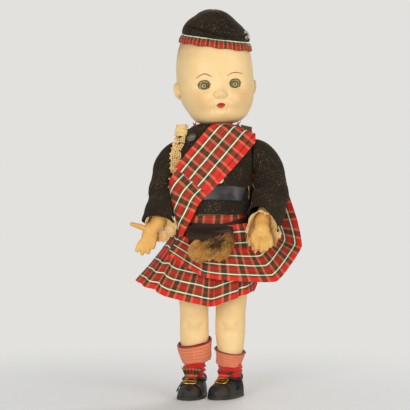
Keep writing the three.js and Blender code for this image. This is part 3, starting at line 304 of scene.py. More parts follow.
def tube_rings(path, tangent, radius, sides):
    side = np.cross([0.0, 1.0, 0.0], tangent)
    level = np.linalg.norm(side, axis=-1, keepdims=True) < 0.2
    side = unit(np.where(level, np.cross([1.0, 0.0, 0.0], tangent), side))
    across = np.cross(tangent, side)
    angle = turns(sides)
    wheel = np.cos(angle)[None, :, None] * side[:, None]
    wheel = wheel + np.sin(angle)[None, :, None] * across[:, None]
    return path[:, None] + wheel * np.reshape(radius, (len(path), 1, 1))


def applied(piece):
    """The piece with its modifiers made part of its mesh."""
    result = bpy.data.meshes.new_from_object(piece.evaluated_get(bpy.context.evaluated_depsgraph_get()))
    piece.modifiers.clear()
    piece.data = result
    return piece


def melted(bits, name, material, voxel, rounds):
    """Overlapping bits melted into one smooth skin."""
    piece = bits.make(name, material)
    melt = piece.modifiers.new("melt", "REMESH")
    melt.mode = "VOXEL"
    melt.voxel_size = voxel * MM
    soften = piece.modifiers.new("soften", "SMOOTH")
    soften.factor = 0.5
    soften.iterations = rounds
    applied(piece)
    shade(piece.data)
    if not piece.data.materials:
        piece.data.materials.append(material)
    return piece


def placed(centre):
    """A matrix that moves a piece to a place about the body's axis."""
    return Matrix.Translation(Vector((np.asarray(centre) + BODY) * MM))


def turned(degrees, axis):
    return Matrix.Rotation(math.radians(degrees), 4, axis)


def dressed(piece, body, slot, *nodes):
    """Settles a piece: the body it rides on and the solids it stands for; the finish it takes is not
    used.
    """
    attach(piece, body)
    if nodes:
        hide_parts(*nodes)
    return piece


# Materials


def srgb(red, green, blue):
    share = np.array([red, green, blue]) / 255
    linear = np.where(share <= 0.04045, share / 12.92, ((share + 0.055) / 1.055) ** 2.4)
    return (*linear.tolist(), 1.0)


class Nodes:
    """Nodes of one tree, wired as they are made."""

    def __init__(self, tree):
        self.tree = tree

    def wire(self, socket, value):
        if isinstance(value, bpy.types.NodeSocket):
            self.tree.links.new(value, socket)
        else:
            socket.default_value = value

    def add(self, kind, inputs=None, output=0, **settings):
        node = self.tree.nodes.new("ShaderNode" + kind)
        for key, value in settings.items():
            setattr(node, key, value)
        for key, value in (inputs or {}).items():
            self.wire(node.inputs[key], value)
        return node.outputs[output]

    def place(self, kind="Object"):
        return self.add("TexCoord", output=kind)

    def stretched(self, vector, scale):
        return self.add("Mapping", {"Vector": vector, "Scale": scale})

    def noise(self, vector, scale, detail=3.0, roughness=0.55):
        inputs = {"Vector": vector, "Scale": scale, "Detail": detail, "Roughness": roughness}
        return self.add("TexNoise", inputs)

    def math(self, operation, a, b=0.0, clamp=False):
        return self.add("Math", {0: a, 1: b}, operation=operation, use_clamp=clamp)

    def plus(self, a, b, clamp=False):
        return self.math("ADD", a, b, clamp)

    def less(self, a, b):
        return self.math("SUBTRACT", a, b)

    def times(self, a, b):
        return self.math("MULTIPLY", a, b)

    def over(self, a, b):
        return self.math("DIVIDE", a, b)

    def ramp(self, share, *stops, steps=False):
        result = self.add("ValToRGB", {"Fac": share})
        ramp = result.node.color_ramp
        ramp.interpolation = "CONSTANT" if steps else "LINEAR"
        for place, colour in stops[2:]:
            ramp.elements.new(place)
        for element, (place, colour) in zip(ramp.elements, stops):
            element.position = place
            element.color = colour if np.ndim(colour) else (colour, colour, colour, 1)
        return result

    def span(self, value, start, end, low, high, kind="LINEAR"):
        """Low at the start and high at the end, and in between on the way."""
        inputs = {0: value, 1: start, 2: end, 3: low, 4: high}
        return self.add("MapRange", inputs, interpolation_type=kind)

    def cells(self, vector, scale):
        return self.add("TexVoronoi", {"Vector": vector, "Scale": scale}, output="Distance")

    def mix(self, share, a, b):
        return self.add("Mix", {0: share, 6: a, 7: b}, output=2, data_type="RGBA")

    def bump(self, height, distance, strength=0.6):
        return self.add("Bump", {"Height": height, "Distance": distance * MM, "Strength": strength})

    def split(self, vector):
        return self.add("SeparateXYZ", {0: vector}).node.outputs[:]

    def seen(self):
        """1 for what the camera, metal and glass show, and 0 for what lights the object."""
        rays = self.add("LightPath", output="Is Camera Ray")
        total = self.plus(rays, rays.node.outputs["Is Glossy Ray"], clamp=True)
        return self.plus(total, rays.node.outputs["Is Transmission Ray"], clamp=True)

    def show(self, output, value):
        self.wire(self.tree.nodes[output].inputs["Surface"], value)


class Look(Nodes):
    """A material built up from nodes round one Principled shader."""

    def __init__(self, name, **settings):
        self.material = bpy.data.materials.new(name)
        self.material.use_nodes = True
        super().__init__(self.material.node_tree)
        self.shader = self.tree.nodes["Principled BSDF"]
        for socket, value in settings.items():
            self.put(socket.replace("_", " "), value)

    def put(self, socket, value):
        self.wire(self.shader.inputs[socket], value)


def celluloid(name, pale, deep, mottle=0.5):
    """Aged celluloid: warm, a little cloudy, with fine scuffs in its gloss."""
    look = Look(name, Subsurface_Weight=0.12, Subsurface_Scale=0.004, Specular_IOR_Level=0.3, IOR=1.5)
    look.put("Coat Weight", 0.04)
    look.put("Coat Roughness", 0.2)
    where = look.place()
    cloud = look.noise(where, 28.0, 4.0)
    base = look.mix(look.ramp(cloud, (0.35, 0.0), (0.75, mottle)), pale, deep)
    speck = look.ramp(look.noise(where, 420.0, 2.0), (0.66, 0.0), (0.8, 0.35))
    look.base = look.mix(speck, base, srgb(176, 128, 74))
    look.put("Base Color", look.base)
    look.put("Roughness", look.ramp(look.noise(where, 160.0, 5.0), (0.3, 0.42), (0.75, 0.56)))
    look.put("Normal", look.bump(look.noise(where, 90.0, 3.0), 0.08))
    return look


def face_paint(name):
    """Celluloid with orange blush on the cheeks and chin and a brown stain under the cap."""
    look = celluloid(name, srgb(238, 206, 150), srgb(228, 188, 126))
    where = look.place()
    colour = look.base
    spots = [
        ((-0.021, -0.034, 0.027), 0.016, 0.32),
        ((0.021, -0.034, 0.027), 0.016, 0.32),
        ((0.0, -0.040, 0.009), 0.009, 0.2),
    ]
    for centre, reach, depth in spots:
        away = look.add("VectorMath", {0: where, 1: centre}, output="Value", operation="DISTANCE")
        share = look.span(away, reach, 0.0, 0.0, depth, "SMOOTHSTEP")
        colour = look.mix(share, colour, srgb(231, 158, 92))
    side, _, height = look.split(where)
    stain = look.ramp(look.noise(where, 60.0), (0.3, 0.2), (0.65, 0.75))
    edge = look.span(height, 0.066, 0.082, 0.0, 1.0)
    fade = look.span(side, -0.008, -0.034, 0.0, 1.0)
    share = look.times(look.times(stain, edge), fade)
    look.put("Base Color", look.mix(share, colour, srgb(164, 100, 58)))
    return look


def felt(name, dark, pale, lint):
    """Wool felt: matted fibres, worn paler in patches, with specks of lint."""
    look = Look(name, Sheen_Weight=0.12, Sheen_Roughness=0.6, Specular_IOR_Level=0.12)
    look.put("Roughness", 0.95)
    look.put("Sheen Tint", srgb(150, 130, 105))
    where = look.place()
    matted = look.noise(where, 900.0, 6.0, 0.7)
    worn = look.noise(where, 55.0, 4.0)
    base = look.mix(look.ramp(matted, (0.3, 0.0), (0.75, 1.0)), dark, pale)
    base = look.mix(look.ramp(worn, (0.45, 0.0), (0.8, 0.4)), base, srgb(70, 57, 41))
    fibre = look.stretched(where, (1.0, 1.6, 0.55))
    dots = look.cells(fibre, 820.0)
    clumps = look.ramp(look.noise(where, 90.0, 3.0), (0.42, 0.1), (0.64, 1.0))
    flecks = look.times(look.ramp(dots, (0.15, 1.0), (0.25, 0.0)), clumps)
    look.put("Base Color", look.mix(look.times(flecks, lint), base, srgb(178, 156, 120)))
    look.put("Normal", look.bump(matted, 0.5, 0.8))
    return look.material


# Tartan: stripes by distance from a line, 0 midway between two lines and 1 on the line
WARP_SETT = 11.03
WEFT_SETT = 17.6
FIRST_LINE = 0.2
RED = srgb(190, 40, 28)
BORDER_RED = srgb(224, 44, 32)
GREEN = srgb(14, 70, 40)
WARP = [
    (0.0, RED), (0.27, srgb(74, 60, 30)), (0.45, srgb(158, 44, 31)), (0.6, GREEN),
    (0.885, srgb(236, 248, 216)),
]
WEFT = [(0.0, RED), (0.42, srgb(224, 130, 94)), (0.7, srgb(12, 50, 28))]
# How much of the weft shows
WEFT_SHARE = [(0.0, 0.25), (0.4, 0.3), (0.56, 0.45), (0.66, 0.42), (0.76, 0.64), (1.0, 0.66)]


def tartan(name):
    """Woven ribbon: U runs across it and V along it, both in metres."""
    look = Look(name, Sheen_Weight=0.02, Specular_IOR_Level=0.15)
    where = look.place("UV")
    wander = look.noise(where, 60.0, 2.0)
    slip = look.times(look.less(wander, 0.5), 0.0009)
    across, along, _ = look.split(where)
    share = look.math("FRACT", look.over(across, RIBBON_WIDTH * MM))

    def nearness(place, sett, shift):
        turn = look.plus(look.over(look.plus(place, slip), sett * MM), shift)
        off = look.math("ABSOLUTE", look.less(look.math("FRACT", turn), 0.5))
        return look.times(off, 2.0)

    first = 1 - FIRST_LINE * RIBBON_WIDTH / WARP_SETT
    line = nearness(look.times(share, RIBBON_WIDTH * MM), WARP_SETT, first)
    border = look.ramp(share, (0.0, 1.0), (0.125, 0.0), (0.865, 1.0), steps=True)
    warp = look.mix(border, look.ramp(line, *WARP, steps=True), BORDER_RED)
    bar = nearness(along, WEFT_SETT, 0.3)
    weft = look.ramp(bar, *WEFT, steps=True)
    thread = look.stretched(where, (2600.0, 2600.0, 1.0))
    weave = {"Vector": thread, "Scale": 0.5, "Distortion": 0.4}
    twill = look.add("TexWave", weave, bands_direction="DIAGONAL")
    over = look.times(look.ramp(twill, (0.2, 0.8), (0.8, 1.2)), look.ramp(bar, *WEFT_SHARE))
    white = look.ramp(line, (0.0, 0.0), (0.885, 0.55), steps=True)
    white = look.times(white, look.less(1.0, border))
    over = look.times(over, look.less(1.0, white))
    cloth = look.mix(over, warp, weft)
    faded = look.ramp(look.noise(where, 45.0, 3.0), (0.45, 0.0), (0.85, 0.06))
    look.put("Base Color", look.mix(faded, cloth, srgb(206, 132, 100)))
    look.put("Roughness", look.ramp(look.noise(where, 300.0), (0.3, 0.46), (0.7, 0.6)))
    look.put("Normal", look.bump(twill, 0.12, 0.5))
    return look.material


def plain_ribbon(name, light, dark):
    look = Look(name, Sheen_Weight=0.15, Specular_IOR_Level=0.3)
    where = look.place()
    rib = look.stretched(where, (1.0, 1.0, 3.5))
    grain = look.noise(rib, 1400.0, 3.0)
    shade = look.ramp(look.noise(where, 120.0), (0.3, 0.0), (0.7, 1.0))
    look.put("Base Color", look.mix(shade, dark, light))
    look.put("Roughness", look.ramp(grain, (0.3, 0.5), (0.7, 0.7)))
    look.put("Normal", look.bump(grain, 0.15))
    return look.material


def cotton_lace(name):
    """Tea-coloured cotton thread, with painted shade that darkens its hollows."""
    look = Look(name, Roughness=0.9, Sheen_Weight=0.2, Specular_IOR_Level=0.15, Subsurface_Weight=0.1)
    look.put("Subsurface Scale", 0.001)
    where = look.place()
    thread = look.noise(where, 1600.0, 4.0, 0.7)
    tea = look.noise(where, 90.0, 3.0)
    base = look.mix(look.ramp(tea, (0.3, 0.0), (0.7, 1.0)), srgb(240, 192, 118), srgb(250, 222, 160))
    # Painted shade: where the thread's bump sinks, its colour is mixed toward dark brown.
    hollow_shade = look.ramp(thread, (0.3, 0.3), (0.6, 0.0))
    look.put("Base Color", look.mix(hollow_shade, base, srgb(176, 122, 64)))
    look.put("Normal", look.bump(thread, 0.4, 0.9))
    return look.material


def leather(name, dark, pale, gloss, crease=1.0, shine=0.5):
    look = Look(name, Specular_IOR_Level=shine)
    where = look.place()
    grain = look.cells(where, 900.0)
    scuff = look.noise(where, 75.0, 6.0, 0.65)
    base = look.mix(look.ramp(scuff, (0.42, 0.0), (0.78, 0.8)), dark, pale)
    look.put("Base Color", base)
    look.put("Roughness", look.ramp(scuff, (0.3, gloss), (0.75, gloss + 0.3)))
    height = look.plus(look.times(grain, 0.5), look.times(scuff, crease))
    look.put("Normal", look.bump(height, 0.25, 0.6))
    return look.material


def metal(name, bright, tarnish, roughness):
    look = Look(name, Metallic=1.0)
    where = look.place()
    stain = look.noise(where, 240.0, 5.0, 0.65)
    look.put("Base Color", look.mix(look.ramp(stain, (0.38, 0.0), (0.7, 1.0)), bright, tarnish))
    look.put("Roughness", look.ramp(stain, (0.3, roughness), (0.7, roughness + 0.25)))
    look.put("Normal", look.bump(look.noise(where, 800.0), 0.05))
    return look.material


def knit(name, light, dark, edge=None, holes=0.0):
    """Ribbed knitting: U runs round the leg and V down it, in metres."""
    look = Look(name, Roughness=0.95, Sheen_Weight=0.3, Specular_IOR_Level=0.1)
    where = look.place("UV")
    across, down, _ = look.split(where)
    rib = look.math("SINE", look.times(across, TAU / 0.0024))
    row = look.math("SINE", look.times(down, TAU / 0.0033))
    stitch = look.plus(look.times(rib, 0.45), look.times(row, 0.45))
    fuzz = look.noise(look.place(), 900.0, 4.0)
    # Painted shade along the ribs and rows, darker in the stitches' troughs, mixed with random fuzz in
    # the yarn's tone.
    shade = look.plus(look.times(stitch, 0.3), fuzz)
    base = look.mix(look.ramp(shade, (0.2, 0.0), (0.7, 1.0)), dark, light)
    # The eyelets are painted dark red: partly the red sock seen through them, partly painted shade in
    # the holes.
    eyelet_shade = look.ramp(look.math("MINIMUM", rib, row), (0.0, 0.0), (0.6, holes))
    base = look.mix(eyelet_shade, base, srgb(126, 36, 24))
    if edge is not None:
        base = look.mix(look.ramp(look.times(down, 40.0), (0.03, 1.0), (0.07, 0.0)), base, edge)
    look.put("Base Color", base)
    look.put("Normal", look.bump(look.plus(stitch, fuzz), 0.35, 0.8))
    return look.material


def glass_eye(name):
    """A set glass eye: U is the angle and V the distance from the pupil, as shares in metres."""
    look = Look(name, Roughness=0.25, Coat_Weight=0.35, Coat_Roughness=0.05, IOR=1.45)
    where = look.place("UV")
    out = look.over(look.split(where)[1], MM)
    spokes = look.noise(look.stretched(where, (26000.0, 900.0, 1.0)), 1.0, 3.0)
    rings = look.plus(out, look.times(look.less(spokes, 0.5), 0.07))
    iris = look.ramp(
        rings,
        (0.0, srgb(10, 9, 8)), (0.15, srgb(14, 12, 9)), (0.2, srgb(172, 168, 120)),
        (0.3, srgb(164, 160, 108)), (0.36, srgb(58, 62, 32)), (0.5, srgb(70, 72, 38)),
        (0.58, srgb(164, 158, 98)), (0.74, srgb(138, 130, 74)), (0.82, srgb(48, 46, 25)),
        (1.0, srgb(34, 31, 18)),
    )
    look.put("Base Color", iris)
    return look.material


def fur(name):
    """Hair: U tells how dark a hair is, V runs from its root to its tip, as shares in metres."""
    look = Look(name, Roughness=0.5, Sheen_Weight=0.1, Specular_IOR_Level=0.3)
    dark, tip = (look.over(part, MM) for part in look.split(look.place("UV"))[:2])
    # Golden tips and dark roots are partly the fur's own colour, partly painted highlight on the tips
    # and painted shade down in the fur.
    gold = look.ramp(tip, (0.0, srgb(92, 50, 16)), (0.4, srgb(176, 108, 38)), (1.0, srgb(238, 186, 98)))
    brown = look.ramp(tip, (0.0, srgb(28, 15, 8)), (0.6, srgb(48, 26, 12)), (1.0, srgb(92, 54, 22)))
    look.put("Base Color", look.mix(dark, gold, brown))
    return look.material


def mottled(name, light, dark, roughness, scale=200.0):
    look = Look(name, Roughness=roughness)
    where = look.place()
    spread = look.noise(where, scale, 4.0)
    look.put("Base Color", look.mix(look.ramp(spread, (0.3, 0.0), (0.7, 1.0)), dark, light))
    look.put("Normal", look.bump(spread, 0.1))
    return look.material


SKIN = celluloid("celluloid", srgb(243, 210, 152), srgb(233, 188, 122)).material
HAND = celluloid("celluloid_hand", srgb(228, 178, 98), srgb(196, 136, 62), 0.8).material
FACE = face_paint("celluloid_face").material
WOOL = felt("jacket_felt", srgb(26, 21, 16), srgb(50, 42, 32), 0.7)
CAP_WOOL = felt("cap_felt", srgb(22, 18, 13), srgb(46, 38, 28), 0.75)
TARTAN = tartan("tartan")
DARK_RED = plain_ribbon("dark_red_ribbon", srgb(150, 30, 30), srgb(84, 16, 20))
LACE_THREAD = cotton_lace("lace_thread")
PATENT = leather("patent_belt", srgb(22, 21, 20), srgb(58, 56, 50), 0.22, 0.4)
SHOE_LEATHER = leather("shoe_leather", srgb(26, 23, 18), srgb(66, 58, 46), 0.38, 1.0, 0.35)
SOLE_LEATHER = leather("sole_leather", srgb(40, 33, 27), srgb(96, 80, 62), 0.6)
FLAP_LEATHER = leather("flap_leather", srgb(32, 20, 10), srgb(62, 42, 22), 0.55, 1.0, 0.25)
TAB_LEATHER = leather("tab_leather", srgb(62, 42, 24), srgb(104, 74, 44), 0.45)
GILT = metal("worn_gilt", srgb(212, 168, 84), srgb(120, 84, 38), 0.3)
SILVER = metal("dull_silver", srgb(150, 146, 136), srgb(72, 67, 58), 0.45)
PEARL = mottled("pearl_shell", srgb(240, 232, 218), srgb(214, 200, 184), 0.22)
FUR = fur("pouch_fur")
SOCK = knit("sock_knit", srgb(226, 32, 22), srgb(172, 14, 11))
SOCK_CUFF = knit("cuff_knit", srgb(246, 152, 110), srgb(222, 122, 84), srgb(140, 22, 20), 0.95)
EYE = glass_eye("eye_glass")
BROW = mottled("brow_paint", srgb(176, 88, 56), srgb(150, 66, 40), 0.5)
LASH = mottled("lash_paint", srgb(70, 44, 28), srgb(50, 30, 20), 0.5)
LIP = mottled("lip_paint", srgb(214, 58, 42), srgb(190, 36, 30), 0.35)
# Painted shade for the creases by the nose wings and under the nostrils.
FACE_SHADE_PAINT = mottled("painted_crease_shade", srgb(222, 182, 122), srgb(208, 164, 104), 0.6)
LIP_SHADE = mottled("lip_shade", srgb(150, 40, 26), srgb(130, 30, 20), 0.5)
WHITE = mottled("white_tuft", srgb(236, 232, 220), srgb(200, 190, 170), 0.9)
# The eye settings' real plaster, made dark as painted shade in the corners of the eyes.
SHADE_DARK_PLASTER = mottled("plaster_dark_as_shade", srgb(126, 120, 74), srgb(98, 92, 54), 0.9)
WOOD = mottled("wood", srgb(184, 144, 94), srgb(150, 110, 66), 0.7)
STEEL = metal("steel_wire", srgb(168, 168, 164), srgb(110, 104, 96), 0.35)
ELASTIC = mottled("elastic_cord", srgb(220, 210, 188), srgb(186, 172, 146), 0.85, 600.0)

KEPT = {
    "torso_shell": SKIN,
    # The eye settings take the plaster that is darkened as painted shade.
    "right_eye_setting": SHADE_DARK_PLASTER,
    "left_eye_setting": SHADE_DARK_PLASTER,
    "neck_disc": WOOD,
    "neck_hook": STEEL,
    "arm_elastic": ELASTIC,
    "leg_elastic": ELASTIC,
}
for node, material in KEPT.items():
    solid = frame["nodes"][node].data
    solid.materials.clear()
    solid.materials.append(material)


# Torso clothes


SIDE_FULLNESS = 1.4


def torso_rows(grow):
    rows = np.array(TORSO, float)
    number = np.arange(len(rows))
    before = rows[np.maximum(number - 1, 0)]
    after = rows[np.minimum(number + 1, len(rows) - 1)]
    rise = after[:, 0] - before[:, 0]
    draw = before[:, 1] - after[:, 1]
    length = np.hypot(rise, draw)
    lift = np.where(number > 0, grow * draw / length, 0)
    out = grow * rise / length
    return np.column_stack([rows[:, 0] + lift, rows[:, 1] + out, rows[:, 2] + out])


def lean_at(height):
    return TORSO_LEAN * np.clip((height - HIP_HEIGHT) / 41, 0, 1)


def torso_point(angle, height, grow):
    """On the torso grown outward, at an angle from the doll's left toward its front."""
    angle, height = np.broadcast_arrays(angle, height)
    half = through(torso_rows(grow), height)
    x = half[..., 0] * signed_power(np.cos(angle), 2 / TORSO_POWER)
    y = -half[..., 1] * signed_power(np.sin(angle), 2 / TORSO_POWER)
    x = x + SIDE_FULLNESS * np.clip(np.cos(angle), 0, 1) * hump(height, 203, 18)
    return joined(lean_at(height) + x, y, height)


def torso_front(x, height, grow):
    """How far forward the grown torso's front lies at a place on its outline."""
    half = through(torso_rows(grow), height)
    beside = np.clip(np.abs(x - lean_at(height)) / half[..., 0], 0, 0.995)
    return -half[..., 1] * (1 - beside**TORSO_POWER) ** (1 / TORSO_POWER)


def mesh_of(rows, cols):
    """Two grids of shares, down the rows and along the columns."""
    return np.meshgrid(np.linspace(0, 1, rows), np.linspace(0, 1, cols), indexing="ij")


def ring_of(rows, cols):
    """Two grids, of shares down the rows and of angles once round."""
    return np.meshgrid(np.linspace(0, 1, rows), TAU * (np.arange(cols) / cols), indexing="ij")


def make_jacket():
    v, angle = ring_of(74, 150)
    height = lerp(KILT_TOP + 0.5, JACKET_NECK_HEIGHT, v)
    grid = torso_point(angle, height, JACKET_TOP)
    limit = SHOULDERS["left"][0] - SHOULDER_X + 1.8
    shoulder = smooth(218, 226, height)
    squared = np.clip(grid[..., 0], SHOULDER_X - limit, SHOULDER_X + limit)
    grid[..., 0] = lerp(grid[..., 0], squared, shoulder)
    outward = unit((grid - [SHOULDER_X, 0, 0]) * [1, 1, 0])
    pinch = -0.5 * hump(height, BELT_HEIGHT, 7)
    folds = 0.45 * ripple(grid * [1, 1, 0.5], 34, 11) * (1 - shoulder * (np.abs(np.cos(angle)) > 0.7))
    flare = smooth(196, 186, height) * (1 + 0.5 * np.sin(5 * angle))
    grid = grid + outward * (pinch + folds + flare)[..., None]
    radius = JACKET_NECK_RADIUS
    collar = smooth(JACKET_NECK_HEIGHT - 2, JACKET_NECK_HEIGHT, height)[..., None]
    neck = joined(NECK[0] + radius * np.cos(angle), -radius * np.sin(angle), height + 0.6)
    grid = lerp(grid, neck, collar * 0.8)
    bits = Bits().sheet(grid, FELT, True)
    v, angle = ring_of(16, 120)
    wide = lerp(30, 20, smooth(0, 1, v)) + 0.5 * np.sin(4 * angle + 1)
    deep = lerp(17.5, 15.8, v)
    x = lerp(SHOULDER_X, NECK[0], v) + wide * np.cos(angle)
    bits.sheet(joined(x, -deep * np.sin(angle), lerp(265.5, 275, v**0.8)), FELT, True)
    piece = bits.make("jacket", WOOL)
    dressed(piece, "torso", "felt", "jacket_body")


def make_belt():
    v, angle = ring_of(9, 150)
    height = BELT_HEIGHT + BELT_WIDTH * (0.5 - v)
    bulge = 0.4 * np.sin(math.pi * v)
    grid = torso_point(angle, height, BELT_TOP - 0.3)
    grid = grid + unit(grid * [1, 1, 0]) * bulge[..., None]
    bits = Bits().sheet(grid, 1.0, True)
    v, u = mesh_of(12, 40)
    notch = 3.5 * np.abs(2 * v - 1)
    x = lerp(-14, 29.5 + notch, u)
    height = BELT_HEIGHT + (BELT_WIDTH - 0.8) * (0.5 - v) - 2.2 * (u - 0.4)
    y = torso_front(x, height, BELT_TOP + 0.75) - 2.2 * smooth(0.5, 0.85, u)
    bits.sheet(joined(x, y, height), 0.7)
    dressed(bits.make("belt", PATENT), "torso", "leather", "waist_belt")


def make_belt_buckle():
    middle = node_middle("belt_buckle")
    near, far = middle[0] - 5, middle[0] + 2.2
    tall = BELT_WIDTH / 2 - 0.6
    loop = [(near, -tall), (far - 1.5, -tall), (far, -tall + 1)]
    loop += [(x, -rise) for x, rise in loop[::-1]]
    place = np.array([(x, 0, BELT_HEIGHT + rise) for x, rise in loop])
    seat = np.where(place[:, 0] > far - 1, 0.9, -1.8)
    place[:, 1] = torso_front(place[:, 0], place[:, 2], BELT_TOP) - seat
    buckle = Bits().tube(place, 0.95, 10, 60).make("gilt_buckle", GILT)
    dressed(buckle, "torso", "gilt", "belt_buckle")


def sash_place(a, b, slope, middle):
    """Across the chest: a up along the ribbon and b across it, from its middle."""
    slope = np.radians(slope)
    x = middle[0] + a * np.cos(slope) - b * np.sin(slope)
    height = middle[1] + a * np.sin(slope) + b * np.cos(slope)
    return x, height


# The chest under the sash: height, half width, half depth
CHEST = [[180, 54, 26], [225, 54, 26], [245, 51, 24.5], [256, 48, 22], [272, 46, 19]]
SHOULDER_BEND = 7.5


def ridge_height(x):
    """Where the sash's front turns over the shoulder."""
    return np.interp(x, [18, 42, 52], [267.5, 259.5, 250])


def over_shoulder(x, height, grow):
    """Up the chest's front to the ridge, then over the shoulder or into the collar."""
    ridge = ridge_height(x)
    wide = through(CHEST, np.minimum(height, ridge))
    beside_neck = np.clip(np.abs(x - SHOULDER_X) / (wide[..., 0] + grow), 0, 0.98)
    y = -(wide[..., 1] + grow) * (1 - beside_neck**2.6) ** (1 / 2.6)
    furthest = lerp(1.5, 2.6, smooth(16, 28, x))
    turn = np.clip((height - ridge) / SHOULDER_BEND, 0, furthest)
    lift = np.where(turn > 0, ridge + SHOULDER_BEND * np.sin(turn), height)
    y = y + SHOULDER_BEND * (1 - np.cos(turn))
    return joined(x, y, lift)


def ribbon_uv(across, along):
    return joined(across * RIBBON_WIDTH, along)


def ribbon(name, grid, uv, keep=None):
    return Bits().sheet(grid, RIBBON, uv=uv, keep=keep).make(name, TARTAN)


SASH_MIDDLE = (-15.0, 227.0)
SASH_END = 43.0
SADDLE = (17.5, 42.5)
UPPER_MIDDLE = (-16.0, 227.0)

# Middle of the sash's lower layer from the hip to the shoulder: sideways and up
LOWER_PATH = [(-55, 157), (-46, 174), (-37, 191), (-28, 208)]
LOWER_PATH += [(-12.5, 223.8), (7.5, 245), (26.5, 267), (40, 283)]


def round_side(grid, edge, bend):
    """Turns what lies past the edge back round the doll's right side."""
    turn = np.maximum((edge + bend - grid[..., 0]) / bend, 0)
    around = np.minimum(turn, math.pi / 2)
    back = bend * (1 - np.cos(around)) + np.maximum(turn - math.pi / 2, 0) * bend
    grid[..., 0] = np.where(turn > 0, edge + bend - bend * np.sin(around), grid[..., 0])
    grid[..., 1] = grid[..., 1] + back
    return turn


def make_sash_fold():
    v, u = mesh_of(110, 40)
    a = lerp(-10, 66, v)
    b = (0.5 - u) * RIBBON_WIDTH
    x, height = sash_place(a, b, 50, UPPER_MIDDLE)
    crumple = 1.8 * hump(x, 31, 6) * smooth(254, 266, height) * np.sin(x * 0.9 + height * 0.3)
    wave = 0.5 * ripple(joined(x, height, a), 46, 5)
    grid = over_shoulder(x, height, SASH_UPPER_TOP + wave + crumple)
    upper = ribbon("sash_fold", grid, ribbon_uv(u, a + 10))
    dressed(upper, "torso", "tartan", "sash_upper")


def make_sash_front():
    v, u = mesh_of(170, 40)
    path = curve(LOWER_PATH, v[:, 0])
    along = arc_length(path)
    tangent = unit(np.gradient(path, axis=0))
    normal = joined(-tangent[:, 1], tangent[:, 0])
    place = path[:, None] + normal[:, None] * ((0.5 - u) * RIBBON_WIDTH)[..., None]
    x, height = place[..., 0], place[..., 1]
    wave = 0.5 * ripple(joined(x, height, v * 60), 44, 8)
    grid = over_shoulder(x, height, SASH_TOP + wave)
    edge = -32.1 - 11.5 * np.clip((height - 158) / 48, 0, 1)
    turn = round_side(grid, edge, 6.0)
    grid[..., 1] = grid[..., 1] - 5 * smooth(190, 172, height)
    hidden = cell_middles(turn) > lerp(2.6, 1.3, smooth(196, 184, cell_middles(height)))
    hidden |= cell_middles(x) > SASH_END
    lower = ribbon("sash_front", grid, ribbon_uv(u, along[:, None]), ~hidden)
    dressed(lower, "torso", "tartan", "sash_lower")


def make_sash_back():
    v, u = mesh_of(100, 30)
    a = lerp(-52, 58, v)
    b = (0.5 - u) * RIBBON_WIDTH
    x, height = sash_place(a, b, 52, SASH_MIDDLE)
    behind = over_shoulder(x, height, SASH_TOP + 0.4)
    round_side(behind, -36.0, 7.0)
    behind[..., 1] = np.maximum(-behind[..., 1], 1)
    keep = cell_middles(x[:, ::-1]) < SASH_END
    rear = ribbon("sash_back", behind[:, ::-1], ribbon_uv(u, a), keep)
    dressed(rear, "torso", "tartan")


def make_sash_over():
    """The short run over the shoulder that joins the sash's front and back."""
    v, u = mesh_of(40, 30)
    x = lerp(SADDLE[0], SADDLE[1], u)
    crest = over_shoulder(x, np.full_like(x, 290.0), SASH_TOP - 0.6)
    y = lerp(crest[..., 1] - 4, 4 - crest[..., 1], v)
    rise = ridge_height(x) + 5.6 + 1.2 * np.sin(math.pi * v)
    uv = ribbon_uv(u * (SADDLE[1] - SADDLE[0]) / RIBBON_WIDTH + 0.2, y + 70)
    over = ribbon("sash_over", joined(x, y, rise), uv)
    dressed(over, "torso", "tartan")


LACE_SCALLOP = 5.2


def lace_holes(across, along, width, cell, hole):
    """Which cells of a lace grid are thread: eyelets in staggered rows and a scalloped free edge."""
    row = np.floor(across / cell)
    x = (along / cell + 0.5 * (row % 2)) % 1 - 0.5
    y = across / cell - row - 0.5
    thread = np.hypot(x, y) * cell > hole
    edge = width - 1.6 * np.abs(np.sin(math.pi * along / LACE_SCALLOP))
    return (thread | (across > width - 3.4) & (np.hypot(x, y) * cell > 0.45)) & (across < edge)


def cell_middles(grid):
    return (grid[1:, 1:] + grid[:-1, :-1]) / 2


JABOT_WIDTH = 12
JABOT_LENGTH = 62
# Middle of the jabot: height, sideways
JABOT = [(275, -31), (262, -33.5), (248, -36.5), (230, -38.5), (211, -39.8)]


def make_jabot():
    """A strip of gathered lace with its top end rolled up."""
    v, u = mesh_of(190, 34)
    height = lerp(270, 211, v)
    high, middle = np.array(JABOT[::-1], float).T
    x = np.interp(height, high, middle) + 0.7 * np.sin(11 * v)
    width = lerp(JABOT_WIDTH, 10, v) + np.sin(31 * v)
    pleat = 1.7 * np.sin(v * 46) * (0.25 + u) + 0.9 * np.sin(v * 95 + 3 * u)
    px = x + (0.5 - u) * width
    y = torso_front(np.maximum(px, -33.5), height, JACKET_TOP + 1.2) - 1.2
    y = y - 4 * smooth(0.4, 1, v) - pleat * 0.8
    grid = joined(px, y, height + 0.7 * np.sin(9 * u))
    across, along = cell_middles(u) * JABOT_WIDTH, cell_middles(v) * JABOT_LENGTH
    keep = lace_holes(across, along, JABOT_WIDTH, 2.4, 0.66)
    bits = Bits().sheet(grid, LACE, keep=keep)
    v, u = mesh_of(26, 120)
    turn = TAU * 1.4 * u
    radius = 6.4 - 2.2 * u + 0.3 * np.sin(22 * v) + 0.2 * np.sin(7 * turn)
    drop = 12 * v + 0.5 * np.sin(5 * turn) * (1 - v)
    x = -30.5 - 2 * v + radius * np.cos(turn)
    roll = joined(x, -10 - 0.7 * radius * np.sin(turn), 275.5 - drop)
    keep = lace_holes(cell_middles(1 - v) * JABOT_WIDTH, cell_middles(u) * 46, JABOT_WIDTH, 2.2, 0.42)
    bits.sheet(roll, LACE, keep=keep)
    piece = bits.make("jabot", LACE_THREAD)
    dressed(piece, "torso", "lace", "jabot_lace")


